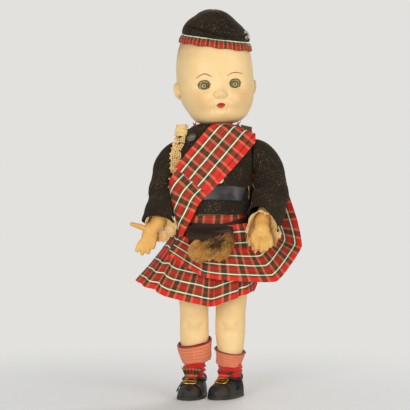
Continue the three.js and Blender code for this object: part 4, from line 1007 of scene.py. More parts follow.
def make_collar():
    v, angle = ring_of(14, 90)
    radius = 14.6 + 1.2 * np.sin(math.pi * v) + 0.4 * np.sin(7 * angle + 4 * v)
    height = 271 + 4.6 * v + 0.5 * np.sin(5 * angle)
    ring = joined(NECK[0] + radius * np.cos(angle), -radius * np.sin(angle), height)
    bits = Bits().sheet(ring, 0.8, True)
    rng = np.random.default_rng(8)
    for x in (-17.5, 25):
        for _ in range(7):
            tip = np.array([x, -19, 274.5]) + rng.normal(0, 1, 3) * [2.2, 0.8, 2.2]
            bits.tube([(x * 0.92, -16, 272.5), (x, -18, 273.5), tip], (1.0, 0.8, 0.3), 7, 6)
    dressed(bits.make("neck_scarf", DARK_RED), "torso", "red_ribbon", "neck_ribbon")


def on_normal(centre, outward):
    """A matrix that stands a piece made about Z on a place of the body, facing outward."""
    turn = Vector(outward).to_track_quat("Z", "Y").to_matrix().to_4x4()
    return placed(centre) @ turn


def lathe(profile, sides=48, flute=None):
    angle = turns(sides)[None, :]
    r, z = np.array(profile, float).T
    ring = r[:, None] * (1 if flute is None else 1 + flute[0] * np.cos(flute[1] * angle))
    return joined(ring * np.cos(angle), ring * np.sin(angle), z[:, None])


def node_middle(node):
    low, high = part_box(node)
    return (np.array(low) + np.array(high)) / 2 / MM - BODY


def make_crested_button():
    face = [[0.3, 0], [4.8, 0], [5, 0.7], [4.7, 1.3], [4.1, 1.5]]
    face += [[3.8, 1.1], [2.6, 1.2], [2.3, 1.7], [1.2, 1.9], [0.2, 2]]
    angle = math.radians(125)
    outward = (math.cos(angle), -math.sin(angle), 0.7)
    matrix = on_normal(node_middle("collar_button") - [0, -0.4, 0], outward)
    bits = Bits().loft(lathe(face, 60, (0.02, 20)))
    for k in range(10):
        turn = TAU * k / 10
        bits.ball((3.2 * math.cos(turn), 3.2 * math.sin(turn), 1.25), (0.55, 0.55, 0.35), 8, 6)
    dressed(bits.make("crested_button", SILVER, matrix), "torso", "silver", "collar_button")


def make_shell_button():
    disc = [[0.3, 0], [3.4, 0], [3.7, 0.5], [3.3, 1], [2.4, 0.8], [0.2, 0.75]]
    matrix = on_normal(node_middle("pearl_button") + [0, -0.2, 0], (0.1, -1, 0))
    bits = Bits().loft(lathe(disc))
    for x in (-0.8, 0.8):
        bits.ball((x, 0, 0.75), (0.45, 0.45, 0.2), 10, 6)
    dressed(bits.make("shell_button", PEARL, matrix), "torso", "pearl", "pearl_button")


def make_tab():
    """The leather tab that holds the plaid at the shoulder."""
    v, u = mesh_of(18, 22)
    middle = node_middle("plaid_brooch")
    curl = 2.6 * np.cos(math.pi * (v - 0.5))
    height = middle[2] + 4.4 - 10 * v - 2.5 * u
    grid = joined(middle[0] + 11 * (u - 0.42), middle[1] - curl - 1.5 * u, height)
    tab = Bits().sheet(grid, 1.2).make("plaid_tab", TAB_LEATHER)
    dressed(tab, "torso", "horn", "plaid_brooch")


# Kilt, waistband, strap and plaid

KILT_FLARE = [[0, 0], [0.25, 0.14], [0.5, 0.38], [0.75, 0.67], [1, 1]]
HEM_CENTRE = (-16.0, -2.0)
HEM_HALF = (62.0, 40.0)
LEFT_FULLNESS = 5.5
# Deep folds of the kilt: angle, spread, depth
CREASES = [(0.75, 0.06, 4.0), (1.32, 0.05, 4.5), (2.36, 0.07, 5.0), (3.6, 0.1, 5.0), (4.3, 0.1, 5.0)]
CREASES += [(4.95, 0.1, 5.0), (5.6, 0.1, 1.5)]
# The front hem is straight from corner to corner: sideways and up
HEM_CORNERS = [(-79, 119), (-48, 104), (-1, 93.5), (42, 108), (46, 115)]


def kilt_point(angle, v, grow):
    """On the kilt: the angle from the doll's left round by its front, v down from the waist."""
    angle, v = np.broadcast_arrays(angle, v)
    waist = through(TORSO, KILT_TOP)
    flare = through(KILT_FLARE, v)[..., 0]
    fold = 0.6 * np.sin(angle * 11 + 0.6) * v
    for middle, spread, depth in CREASES:
        fold = fold - depth * hump(angle, middle, spread) * np.maximum(v, 0) ** 1.3
        fold = fold + 0.45 * depth * hump(angle, middle + 2.4 * spread, 1.6 * spread) * v
    power = 2 / lerp(TORSO_POWER, 2, v)
    half_x = lerp(waist[0] + 1.2 + grow, HEM_HALF[0] + grow + fold, flare)
    half_y = lerp(waist[1] + 1.2 + grow, HEM_HALF[1] + grow + fold, flare)
    x = lerp(lean_at(KILT_TOP), HEM_CENTRE[0], flare) + half_x * signed_power(np.cos(angle), power)
    y = lerp(0, HEM_CENTRE[1], flare) - half_y * signed_power(np.sin(angle), power)
    aside = np.abs((angle + math.pi) % TAU - math.pi)
    corner = hump(aside, 0.66, 0.4) * smooth(0, 0.25, aside) * np.sign(np.sin(angle))
    y = y - LEFT_FULLNESS * corner * smooth(0, 0.6, v)
    corner_x, corner_z = np.array(HEM_CORNERS, float).T
    front_hem = np.interp(HEM_CENTRE[0] + HEM_HALF[0] * np.cos(angle), corner_x, corner_z)
    back_hem = KILT_TOP - KILT_FALL + 1 - 5 * np.cos(angle)
    hem = lerp(back_hem, front_hem, smooth(-0.35, 0.1, np.sin(angle)))
    return joined(x, y, lerp(KILT_TOP, hem, v))


FRONT_LAP = 2.5
BACK_SEAM = 4.71
# How far the left half lies under the right one, and where the ribbon of each half starts
UNDER_LAP = {"right": 0.0, "left": 0.9}
RIBBON_START = {"right": -2, "left": 190}


def front_angle(x, v):
    """The angle at which the kilt's front lies at a place sideways."""
    waist = through(TORSO, KILT_TOP)
    flare = through(KILT_FLARE, v)[..., 0]
    middle = lerp(lean_at(KILT_TOP), HEM_CENTRE[0], flare)
    half = lerp(waist[0] + 1.2, HEM_HALF[0], flare)
    return np.arccos(signed_power((x - middle) / half, lerp(TORSO_POWER, 2, v) / 2))


def follow_thigh(piece):
    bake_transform(piece)


def make_kilt():
    """Two halves that lap between the legs."""
    for side, way in SIDES.items():
        v, u = mesh_of(46, 170)
        lap = front_angle(-way * FRONT_LAP, v)
        hem_lap = lap[-1, 0]
        if side == "right":
            angle = lerp(hem_lap, BACK_SEAM + 0.1, u) + (lap - hem_lap) * smooth(0.15, 0, u)
        else:
            angle = lerp(BACK_SEAM - 0.1, hem_lap + TAU, u) + (lap - hem_lap) * smooth(0.85, 1, u)
        grid = kilt_point(angle % TAU, v, -UNDER_LAP[side])
        round_hem = arc_length(grid[-1])[None, :] + RIBBON_START[side]
        lengths = [arc_length(grid[:, j]) for j in range(grid.shape[1])]
        rise = np.stack([length[-1] - length for length in lengths], 1)
        piece = ribbon(f"kilt_{side}", grid, joined(rise, round_hem))
        if side == "right":
            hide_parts("kilt")
        follow_thigh(piece)


def make_waistband():
    v, u = mesh_of(10, 200)
    angle = TAU * u - math.pi / 2
    crumple = 0.8 * np.sin(9 * angle) * v
    grid = kilt_point(angle % TAU, lerp(-0.004, 0.1, v), 1.6 + crumple)
    grid[..., 2] = grid[..., 2] + 1.2 * np.sin(angle * 2 + 0.5) * (1 - v)
    band = ribbon("kilt_band", grid, joined(9 + 9 * v, arc_length(grid[0])[None, :]))
    dressed(band, "torso", "tartan", "kilt_waistband")


def make_strap():
    v, angle = ring_of(8, 150)
    lift = 3.4 * smooth(0.1, 0.9, np.cos(angle)) - 0.4
    grid = kilt_point(angle, lerp(0.09, 0.175, v), 2.6 + 0.4 * np.sin(math.pi * v))
    grid[..., 2] = grid[..., 2] + 1.6 * lift
    strap = Bits().sheet(grid, 0.9, True).make("strap", FLAP_LEATHER)
    dressed(strap, "torso", "leather", "sporran_strap")


PLAID_SEAT = 6.6
PLAID_STRAIGHTNESS = 0.55
# Edges of the plaid from the shoulder round the hip to the front
PLAID_OUTER = [
    (46, 31, 256), (60, 30, 236), (78, 27, 208), (88, 22, 178), (92, 14, 152), (80, -8, 135),
    (63, -31, 118), (26, -43, 119), (-9, -44, 123), (-46, -36, 146),
]
PLAID_INNER = [
    (12, 32, 258), (24, 35, 232), (41, 34, 200), (50, 27, 176), (56, 8, 166), (51, -8, 160),
    (43, -24, 151), (20, -35, 151), (-5, -36, 152), (-31, -31.5, 164),
]


def straight(points, t):
    points = np.array(points, float)
    place = np.linspace(0, 1, len(points))
    return np.stack([np.interp(t, place, points[:, k]) for k in range(3)], -1)


def make_plaid():
    t = np.linspace(0, 1, 260)
    edges = []
    for points, angle, height in ((PLAID_OUTER, -30, 262), (PLAID_INNER, -80, 266)):
        start = torso_point(math.radians(angle), float(height), PLAID_SEAT)
        route = [start, *points]
        edges.append(lerp(curve(route, t), straight(route, t), PLAID_STRAIGHTNESS))
    outer, inner = edges
    middle = (outer + inner) / 2
    share = np.linspace(0, 1, 34)[None, :, None]
    grid = lerp(inner[:, None], outer[:, None], share)
    wave = 0.9 * np.sin(9 * math.pi * t)[:, None] * np.sin(math.pi * share[..., 0])
    grid = grid + grid_normals(grid) * (wave + 0.5 * ripple(grid, 50, 21))[..., None]
    along = arc_length(middle)
    uv = ribbon_uv(1 - share[..., 0], along[:, None])
    ends = {side: int(np.sum(middle[:, 0] > -way * FRONT_LAP)) for side, way in SIDES.items()}
    lap = grid_normals(grid) * (0.8 * smooth(-12, 2, middle[:, 0]))[:, None, None]
    runs = {
        "plaid": ("left", slice(0, ends["left"]), grid),
        "plaid_end": ("right", slice(ends["right"], None), grid - lap),
    }
    for name, (side, part, run) in runs.items():
        piece = ribbon(name, run[part], uv[part])
        if side == "left":
            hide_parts("plaid_tail")
        follow_thigh(piece)


FOLD_TOP = [(1, -28.5, 172.6), (12, -29, 173.2), (26, -28.5, 175)]
FOLD_TOP += [(40, -20.5, 176), (49, -8, 175), (54, 8, 174)]
FOLD_FOOT = [(1, -34, 137.2), (12, -34, 137), (30, -31.5, 137)]
FOLD_FOOT += [(50, -20, 137), (62, -5, 138), (67, 10, 139)]


def make_plaid_fold():
    """The plaid's second run, tucked between the kilt and the first."""
    v, u = mesh_of(34, 90)
    top = curve(FOLD_TOP, u[0])
    foot = curve(FOLD_FOOT, u[0])
    grid = lerp(top[None], foot[None], v[..., None])
    puff = 1.4 * np.sin(math.pi * v) * np.sin(9 * u) + 1.5 * np.sin(7 * v + 5 * u) * smooth(0.35, 0, v)
    puff = puff * smooth(0.25, 0.4, u)
    grid = grid + grid_normals(grid) * puff[..., None]
    along = arc_length((top + foot) / 2)
    piece = ribbon("plaid_fold", grid, ribbon_uv(v, along[None, :]))
    follow_thigh(piece)


# Sporran

SPORRAN_TILT = 20
POUCH_SHIFT = 4.5
POUCH_SLANT = 0.22
FUR_TUFTS = 260
TUFT_HAIRS = 14
SPORRAN_FRAME = placed(SPORRAN) @ turned(-SPORRAN_TILT, "X")


def make_flap():
    v, u = mesh_of(26, 40)
    half = 22.5 - 1.6 * smooth(0.45, 1, v) - 1.5 * (1 - smooth(0, 0.1, v))
    x = (2 * u - 1) * half
    drop = -17.5 * v - 1.6 * np.sin(math.pi * u) * v
    bow = np.sin(math.pi * u)
    y = -2.2 - (6 + 5.6 * bow) * smooth(0, 0.8, v) - 0.5 * np.cos(5 * math.pi * u) * v
    grid = joined(x, y, drop)
    bits = Bits().sheet(grid, 1.4)
    v, u = mesh_of(16, 30)
    grid = joined((2 * u - 1) * 21.5, -0.6, -18 * v)
    bits.sheet(grid, 1.2)
    dressed(bits.make("pouch_flap", FLAP_LEATHER, SPORRAN_FRAME), "sporran", "leather", "sporran_flap")


def on_pouch(down, turn, size):
    """On the fur's skin, which hangs lower at the doll's right."""
    x = POUCH_SHIFT + size * 20 * signed_power(np.cos(turn), 0.8)
    y = -7.6 + size * 4.6 * signed_power(np.sin(turn), 0.8)
    return joined(x, y, -9 - 26 * down + POUCH_SLANT * x)


def make_pouch():
    skin = Bits()
    t = np.linspace(0, 1, 16)
    bulge = np.sin(math.pi * lerp(0.2, 0.96, t)) ** 0.55
    angle = turns(36)
    rings = on_pouch(t[:, None], angle[None, :], bulge[:, None])
    uv = np.zeros((*rings.shape[:2], 2)) + [0.8, 0.05]
    skin.loft(rings, uv)
    rng = np.random.default_rng(3)
    tufts = FUR_TUFTS
    count = TUFT_HAIRS * tufts
    tuft = np.repeat(np.arange(tufts), TUFT_HAIRS)
    place = np.clip(rng.uniform(0.15, 1, tufts)[tuft] + rng.normal(0, 0.035, count), 0.1, 1)
    turn = rng.uniform(-1.15 * math.pi, 0.15 * math.pi, tufts)[tuft] + rng.normal(0, 0.1, count)
    size = np.interp(place, t, bulge)
    root = on_pouch(place, turn, size)
    normal = unit(joined(np.cos(turn) * 0.3, np.sin(turn) * 1.2, -0.35))
    sweep = rng.normal(0, 0.13, (tufts, 3))[tuft]
    comb = unit(joined(-0.55, -0.1, -0.8 + 0.2 * place) + sweep)
    length = rng.uniform(8, 13, count) * lerp(1, 0.6, place)
    lean = unit(normal * rng.uniform(0.1, 0.4, (count, 1)) + comb + rng.normal(0, 0.06, (count, 3)))
    # Dark in a patch beside the middle and golden towards the edges: partly the fur's own colour,
    # partly painted highlight on its golden edges.
    aside = (root[:, 0] - POUCH_SHIFT - 6) / 11
    below = (root[:, 2] - POUCH_SLANT * root[:, 0] + 20) / 6.5
    away = aside**2 + below**2
    shade = rng.normal(0, 0.2, tufts)[tuft] + rng.normal(0, 0.12, count)
    dark = np.clip(1.3 * np.exp(-away) + shade, 0, 1)
    for k in range(count):
        spine = root[k] + lean[k] * length[k] * np.array([0, 0.4, 0.75])[:, None]
        spine = spine + normal[k] * np.array([0, 0.9, 0.6])[:, None]
        tip = root[k] + lean[k] * length[k] + normal[k] * -0.3
        side = unit(np.cross(lean[k], [0.3, 1.0, 0.2]))
        other = np.cross(lean[k], side)
        width = np.array([0.3, 0.28, 0.18])[:, None]
        corners = [spine + width * (math.cos(a) * side + math.sin(a) * other) for a in (0.5, 2.6, 4.7)]
        points = np.concatenate([np.stack(corners, 1).reshape(-1, 3), tip[None]])
        faces = [[0, 1, 4, 3], [1, 2, 5, 4], [2, 0, 3, 5], [3, 4, 7, 6], [4, 5, 8, 7], [5, 3, 6, 8]]
        faces += [[6, 7, 9], [7, 8, 9], [8, 6, 9], [2, 1, 0]]
        level = np.array([0.0] * 3 + [0.4] * 3 + [0.75] * 3 + [1.0])
        skin.add(points, faces, joined(dark[k], level))
    pouch = skin.make("pouch", FUR, SPORRAN_FRAME, 80)
    dressed(pouch, "sporran", "fur", "sporran_pouch")


# Arms: outward from the shoulder, forward, up, in the shoulder's frame

ARM_PATHS = {
    "right": [(6, 0, 0), (13.5, -3, -16), (17.5, -8, -35)],
    "left": [(7, 0, 0), (15, -1, -12), (18.8, -4, -30)],
}
ARM_PATHS["right"] += [(18.5, -15, -54), (20.5, -19, -65), (26, -22, -73)]
ARM_PATHS["left"] += [(17.5, -15, -49), (11.3, -28, -63), (10.3, -34, -70)]
ARM_RADII = {"right": (9.2, 9.4, 9.4, 8.6, 7.4, 6.4), "left": (9.2, 9.4, 9.4, 8.8, 7.6, 6.8)}
HANDS = {
    "right": {
        "palm": [((28, -23.5, -75), (7.6, 5.4, 8.6)), ((30, -24.5, -80), (7, 4.6, 6.5))],
        "fingers": [
            [(32, -25, -73), (38, -26.5, -70.5), (46, -27, -68)],
            [(33, -25, -82), (38, -27.5, -88), (41, -28, -94)],
            [(30, -25, -84), (34, -28, -91), (36, -28, -97)],
            [(26.5, -25, -84), (29, -27.5, -90), (30, -28, -96)],
            [(24, -24, -81), (24.5, -27, -87), (25, -27.5, -91)],
        ],
    },
    "left": {
        "palm": [((10.3, -37, -74), (8, 6.4, 9)), ((10.3, -39.5, -79), (8.4, 5.2, 6))],
        "fingers": [
            [(3.6, -40, -76), (1.2, -44, -81), (2.2, -46, -87)],
            [(5.6, -42, -81), (4.2, -46.5, -86), (4, -47, -91.5)],
            [(9.4, -43, -82), (9, -48, -87), (9.2, -48.5, -93.5)],
            [(13.2, -43, -81), (13.8, -47.5, -86.5), (14, -48, -92)],
            [(16.6, -41, -79), (18, -45.5, -84), (18, -46, -89)],
        ],
    },
}
# Sleeves: the path as for the arms, and the radius
SLEEVES = {
    "right": [
        (2.4, 0, 0, 14.3), (6.1, 0, -1.7, 13.9), (10.4, -0.8, -6.8, 12.6),
        (13.6, -2.5, -14.8, 11.6), (16.2, -6, -29, 11.4), (17.2, -10, -42, 12.4),
        (18.5, -15, -54, 13.6), (20.5, -19, -65, 14.4),
    ],
    "left": [
        (2.4, 0, 1.2, 16), (7.1, 0, 1, 16.6), (13, -0.5, -3.8, 16.4), (18, -1.5, -13.5, 16),
        (20.6, -3.5, -27, 16.6), (21, -9, -38, 17.4), (18.6, -15, -48, 17.8),
        (14.8, -22, -56, 17), (11.3, -28, -62, 15.6),
    ],
}
SLEEVE_TURN = [0, 0.25, 0.6, 0.9]
SLEEVE_SEED = {"right": 31, "left": 37}
SLEEVE_LONGER = {"right": 2, "left": 7}


def beside(points, side):
    """From a shoulder's frame to the body's."""
    return np.asarray(points, float) * [SIDES[side], 1, 1] + SHOULDERS[side]


def make_sleeve(side):
    rows = np.array(SLEEVES[side], float)
    share = np.linspace(0, 1, len(rows))
    tangent = unit(np.gradient(rows[:, :3], axis=0))
    for k, part in enumerate(SLEEVE_TURN):
        tangent[k] = unit(lerp(np.array([1.0, 0, 0]), tangent[k], part))
    t = np.linspace(0, 1, 90)
    found = through(np.column_stack([share, rows, tangent]), t)
    path, radius, tangent = found[:, :3], found[:, 3], unit(found[:, 4:])
    rings = tube_rings(path, tangent, radius, 72)
    out = unit(rings - path[:, None])
    angle = turns(72)[None, :]
    down = t[:, None]
    inner = 0.5 + 0.5 * np.cos(angle - 0.5)
    elbow = hump(down, 0.62, 0.2)
    crease = np.sin(26 * down + 2.4 * np.cos(angle + 0.4))
    folds = 1.9 * elbow * (signed_power(crease, 0.7) - 0.3) * (0.45 + inner)
    drape = 0.7 * ripple(rings, 30, SLEEVE_SEED[side]) * smooth(0.2, 0.5, down)
    hem = 0.5 * smooth(0.93, 0.97, down)
    rings = rings + out * (folds + drape + hem)[..., None]
    longer = SLEEVE_LONGER[side] * np.clip(out[..., 0], 0, 1) * smooth(0.7, 1, down)
    rings = rings + longer[..., None] * [0.1, -0.3, -1]
    piece = Bits().sheet(beside(rings, side), FELT, True).make(f"{side}_jacket_sleeve", WOOL)
    dressed(piece, f"{side}_arm", "felt", f"{side}_sleeve")


def make_arm(side):
    path = beside(ARM_PATHS[side], side)
    bits = Bits().tube(path, ARM_RADII[side], 20, 24)
    hand = HANDS[side]
    for centre, radii in hand["palm"]:
        bits.ball(beside(centre, side), radii)
    for finger in hand["fingers"]:
        bits.tube(beside(finger, side), (3.1, 2.9, 2.3), 10, 8)
    piece = melted(bits, f"{side}_forearm", HAND, 0.75, 4)
    dressed(piece, f"{side}_arm", "celluloid", f"{side}_arm")


# Width and length of the ruffs' lace
CUFF_LACE = (15, 135)
# Rim of each ruff from the wrist: outward, forward, up; half its width and height; ruffles round it
CUFFS = {
    "right": {"rim": (-3.5, -6, -6.5), "half": (15.5, 15), "ruffles": 9, "seed": 2, "strip": 12},
    "left": {"rim": (-0.5, -7, -14), "half": (17, 19.5), "ruffles": 10, "seed": 5, "strip": 14},
}


def make_cuff(side):
    """A ruff of lace: gathered round the wrist, its rim standing open towards the front."""
    shape = CUFFS[side]
    path = np.array(ARM_PATHS[side], float)
    end = path[4]
    axis = unit(path[4] - path[3])
    lean = unit(np.cross([0.0, 1.0, 0.0], axis))
    across = np.cross(axis, lean)
    v, u = mesh_of(44, 330)
    angle = TAU * u
    wheel = np.cos(angle)[..., None] * lean + np.sin(angle)[..., None] * across
    start = end - axis * 3 + wheel * (ARM_RADII[side][4] + 0.5)
    ruffles = shape["ruffles"]
    seed = shape["seed"]
    waves = np.sin(ruffles * angle) + 0.5 * np.sin((ruffles * 2 + 1) * angle + seed)
    half_x, half_z = shape["half"]
    swell = 1 + 0.07 * np.sin(3 * angle + seed)
    place = [-half_x * swell * np.cos(angle), 4 * np.sin(angle), -half_z * swell * np.sin(angle)]
    rim = end + shape["rim"] + np.stack(place, -1)
    grid = lerp(start, rim, (v**0.9)[..., None])
    out = unit(rim - end - shape["rim"])
    ruffle = 1.1 * v * np.cos(ruffles * angle + 1) + 2 * np.sin(math.pi * v)
    grid = grid + out * ruffle[..., None]
    grid[..., 1] = grid[..., 1] - 1.9 * v * waves
    width, length = CUFF_LACE
    keep = lace_holes(cell_middles(v) * width, cell_middles(u) * length, width, 2.4, 0.5)
    piece = Bits().sheet(beside(grid, side), LACE, keep=keep).make(f"{side}_lace_cuff", LACE_THREAD)
    dressed(piece, f"{side}_arm", "lace", f"{side}_cuff_lace")


# Legs, socks and shoes: about each leg's axis, x outward

LEG_SPREAD = 18.2
# Leg: height, outward shift, radius
LEG = [
    [11, 0, 6.6], [20, 0, 8], [25, 0, 8.8], [34, 0, 9.6], [46, 0, 12.6], [58, 0, 14.4],
    [70, 0, 14.3], [84, 0.3, 14.2], [102, 0.8, 15], [126, 1.6, 15.4], [150, 3, 14.7],
    [170, 3, 14.4], [178, 3, 10], [181, 3, 3],
]
LEG_SEED = {"right": 51, "left": 57}
LEG_WIDER = {"right": 0.3, "left": 1.0}
TOE_TURN = {"right": 14, "left": 32}
# Turned cuffs: middle height of the top and foot edges, how far each falls outward and forward
SOCK_CUFFS = {
    "right": {"top": (55.5, 3.2, 3.0), "foot": (36, 1.5, 1.0)},
    "left": {"top": (47.5, 2.0, 3.0), "foot": (31.5, 1.5, 1.2)},
}
SHOE_LENGTH = 48
SHOE_HALF = 12.4
SHOE_HEIGHT = 25
HEEL_BACK = 15
SOLE = 3.2
BUCKLE_FORWARD = 16.7
TONGUE_FORWARD = 11.9
# Tongues: half width at the top, rise, where across the ribbon they start, how much of it, cut length
TONGUES = {"right": (11, 11, 19.6, 9.6, 0.0125), "left": (9.5, 7, 0.4, 6, 0.0105)}
# Upper: share from heel to toe, half width and height as shares
SHOE = [
    [0, 0.42, 0.6], [0.1, 0.8, 0.78], [0.3, 0.94, 0.86], [0.5, 0.98, 0.7], [0.7, 1, 0.46],
    [0.88, 0.8, 0.38], [1, 0.36, 0.27],
]


def on_leg(points, side):
    way = SIDES[side]
    return np.asarray(points, float) * [way, 1, 1] + [way * LEG_SPREAD, 0, 0]


def in_shoe(points, side):
    """From the frame of a foot, toes along -y, to the leg's, turned with the toes."""
    turn = math.radians(-SIDES[side] * TOE_TURN[side]) * SIDES[side]
    points = np.asarray(points, float) * [SIDES[side], 1, 1]
    cos, sin = math.cos(turn), math.sin(turn)
    spin = np.array([[cos, -sin, 0], [sin, cos, 0], [0, 0, 1]])
    return points @ spin.T + [SIDES[side] * LEG_SPREAD, 0, 0]


def leg_rings(heights, grow, sides):
    found = through(LEG, heights)
    angle = turns(sides)[None, :]
    radius = found[:, 1:2] + grow
    x = found[:, 0:1] + radius * np.cos(angle)
    return joined(x, -radius * np.sin(angle), heights[:, None]), angle


def swollen(rings, by):
    """Rings moved out from their middles."""
    return rings + unit(rings - rings.mean(1, keepdims=True)) * by[..., None]


def make_leg(side):
    heights = np.concatenate([np.linspace(12, 176, 120), [179, 181]])
    rings, angle = leg_rings(heights, 0, 56)
    z = heights[:, None]
    front = np.clip(np.sin(angle), 0, 1)
    knee = 2.4 * hump(z, 77, 6) * front**2 - 1.8 * hump(z, 66, 3.2) * front**1.5
    knee = knee - 1.2 * hump(z, 88, 4) * front**2
    dimples = hump(angle, 1.05, 0.22) + hump(angle, 2.1, 0.22)
    knee = knee - 1.6 * hump(z, 73, 4) * dimples + 0.35 * ripple(rings, 26, LEG_SEED[side])
    wider = LEG_WIDER[side] * smooth(57, 68, z)
    back = np.clip(-np.sin(angle), 0, 1)
    calf = 1.6 * hump(z, 54, 12) * back + 1.2 * hump(z, 72, 3) * -back
    under_kilt = 4.0 * smooth(112, 138, z) * np.clip(np.cos(angle), 0, 1) ** 0.7
    rings = swollen(rings, knee + calf + wider - under_kilt)
    piece = Bits().loft(on_leg(rings, side)).make(f"{side}_shin", SKIN)
    dressed(piece, f"{side}_leg", "celluloid", f"{side}_leg")


def make_sock(side):
    edges = SOCK_CUFFS[side]
    heights = np.linspace(12, edges["top"][0] - 4, 60)
    under = smooth(edges["foot"][0] - 1, edges["foot"][0] + 4, heights)[:, None]
    rings, angle = leg_rings(heights, lerp(1.4, 0.3, under), 72)
    z = heights[:, None]
    slack = 1.5 * hump(z, 27, 6) * np.sin(1.5 * z + 1.5 * np.sin(angle + 0.6))
    slack = (slack + 0.4 * ripple(rings, 14, 9)) * (1 - under)
    shape = on_leg(swollen(rings, slack), side)
    piece = Bits().sheet(shape, 0.9, True, joined(angle * 11, z)).make(f"{side}_red_sock", SOCK)
    dressed(piece, f"{side}_leg", "sock_knit", f"{side}_sock")


def make_sock_cuff(side):
    v, u = mesh_of(40, 145)
    angle = TAU * u + math.pi / 2
    top, foot = (
        middle - out * np.cos(angle) - ahead * np.sin(angle)
        for middle, out, ahead in SOCK_CUFFS[side].values()
    )
    height = lerp(top, foot, v) + 0.5 * np.sin(5 * angle) * v
    found = through(LEG, height)
    roll = np.sin(math.pi * np.clip(v * 7, 0, 1)) - (1 - smooth(0, 0.05, v))
    rib = 0.2 * np.cos(58 * angle)
    sag = 0.6 * hump(v, 0.85, 0.22) + 0.4 * np.sin(3 * angle + 4 * v)
    radius = np.minimum(found[..., 1] + 2.6 + roll + rib + sag, 16.4)
    inward = -1.4 * smooth(0.2, 1, v)
    grid = joined(inward + radius * np.cos(angle), -radius * np.sin(angle), height)
    uv = joined(angle * 15, 18 * v)
    piece = Bits().sheet(on_leg(grid, side), 1.2, uv=uv).make(f"{side}_turned_cuff", SOCK_CUFF)
    dressed(piece, f"{side}_leg", "cuff_knit", f"{side}_sock_cuff")


def shoe_surface(share, angle, grow=0.0):
    found = through(SHOE, share)
    lift = np.maximum(np.sin(angle), 0) ** 0.8
    x = (found[..., 0] * SHOE_HALF + grow) * np.cos(angle)
    y = HEEL_BACK + grow - share * (SHOE_LENGTH + 2 * grow)
    return joined(x, y, SOLE + 0.2 + lift * (found[..., 1] * SHOE_HEIGHT + grow))


def vamp_height(forward):
    """How high the upper stands on its middle line, forward of the ankle."""
    share = np.clip((HEEL_BACK + forward) / SHOE_LENGTH, 0, 1)
    return SOLE + 0.2 + through(SHOE, share)[..., 1] * SHOE_HEIGHT


def make_shoe_upper(side):
    share = np.concatenate([[0.0, 0.012], np.linspace(0.04, 0.96, 44), [0.985, 1.0]])
    angle = turns(56)
    shares, angles = np.meshgrid(share, angle, indexing="ij")
    rings = shoe_surface(shares, angles)
    toe = smooth(0.6, 0.75, shares)
    rings[..., 2] = rings[..., 2] + 1.2 * toe * hump(shares, 0.86, 0.1) * np.maximum(np.sin(angles), 0)
    wrinkle = 0.35 * np.sin(shares * 95) * hump(shares, 0.62, 0.07) * np.maximum(np.sin(angles), 0)
    rings[..., 2] = rings[..., 2] + wrinkle
    bits = Bits().loft(in_shoe(rings, side))
    turn = np.linspace(0, TAU, 49)
    collar = joined(11.4 * np.cos(turn), -12.4 * np.sin(turn), 0.0)
    beside_ankle = np.sqrt(np.clip(1 - (collar[:, 0] / (SHOE_HALF * 0.98)) ** 2, 0.02, 1))
    collar[:, 2] = SOLE + 1.2 + (vamp_height(-collar[:, 1]) - SOLE) * (0.35 + 0.65 * beside_ankle)
    bits.tube(in_shoe(collar, side), 1.3, 8, 70)
    v, u = mesh_of(10, 40)
    across = lerp(0.06, 0.94, u) * math.pi
    strap = shoe_surface((HEEL_BACK + 13.2 + 7 * v) / SHOE_LENGTH, across, 0.9)
    bits.sheet(in_shoe(strap, side), 0.8)
    dressed(bits.make(f"{side}_shoe", SHOE_LEATHER), f"{side}_leg", "leather", f"{side}_shoe_upper")


def make_sole(side):
    around = turns(80)
    share = 0.5 - 0.5 * np.cos(around)
    half = (through(SHOE, share)[..., 0] * SHOE_HALF + 1.4) * np.abs(np.sin(around)) ** 0.35
    y = HEEL_BACK + 1.2 - share * (SHOE_LENGTH + 2.4)
    outline = joined(np.sign(np.sin(around)) * half, y, 0.0)
    levels = [(0.94, 0.02), (0.99, 0.3), (1, 1.4), (0.985, 1.7), (1, 2), (0.99, 3), (0.94, SOLE)]
    middle = outline.mean(0)
    rings = [middle + (outline - middle) * [k, k, 1] + [0, 0, z] for k, z in levels]
    sole = Bits().loft(in_shoe(np.array(rings), side)).make(f"{side}_sole", SOLE_LEATHER)
    dressed(sole, f"{side}_leg", "leather", f"{side}_shoe_sole")


def make_shoe_buckle(side):
    forward = BUCKLE_FORWARD
    slope = math.atan2(float(vamp_height(forward - 4) - vamp_height(forward + 4)), 8)
    bits = Bits()
    t = np.linspace(0, TAU, 60)
    loop = joined(signed_power(np.cos(t), 0.35) * 6, signed_power(np.sin(t), 0.35) * 4, 0.0)
    cos, sin = math.cos(slope), math.sin(slope)
    tilt = np.array([[1, 0, 0], [0, cos, -sin], [0, sin, cos]])
    seat = [0, -forward, float(vamp_height(forward)) + 1.4]
    bits.tube(in_shoe(loop @ tilt.T + seat, side), 0.85, 8, 90)
    bar = np.array([[-5.6, 0, 0.3], [0, 0, 0.5], [5.6, 0, 0.3]])
    bits.tube(in_shoe(bar @ tilt.T + seat, side), 0.5, 8, 12)
    buckle = bits.make(f"{side}_gilt_buckle", GILT)
    dressed(buckle, f"{side}_leg", "gilt", f"{side}_shoe_buckle")


def make_tongue(side):
    spread, rise, start, span, cut = TONGUES[side]
    v, u = mesh_of(24, 60)
    half = lerp(5, spread, v)
    fold = 1.1 * np.cos(u * 12 * math.pi) * v
    zigzag = 0.9 * np.abs(np.sin(u * 7 * math.pi)) * v
    y = -TONGUE_FORWARD - 2.2 + 3.2 * v + fold
    grid = joined((2 * u - 1) * half, y, vamp_height(TONGUE_FORWARD) + 0.6 + rise * v - zigzag)
    uv = joined(start + u * span, 5 + v * rise * 1.2)
    tongue = ribbon(f"{side}_tartan_tongue", in_shoe(grid, side), uv)
    dressed(tongue, f"{side}_leg", "tartan", f"{side}_shoe_tongue")


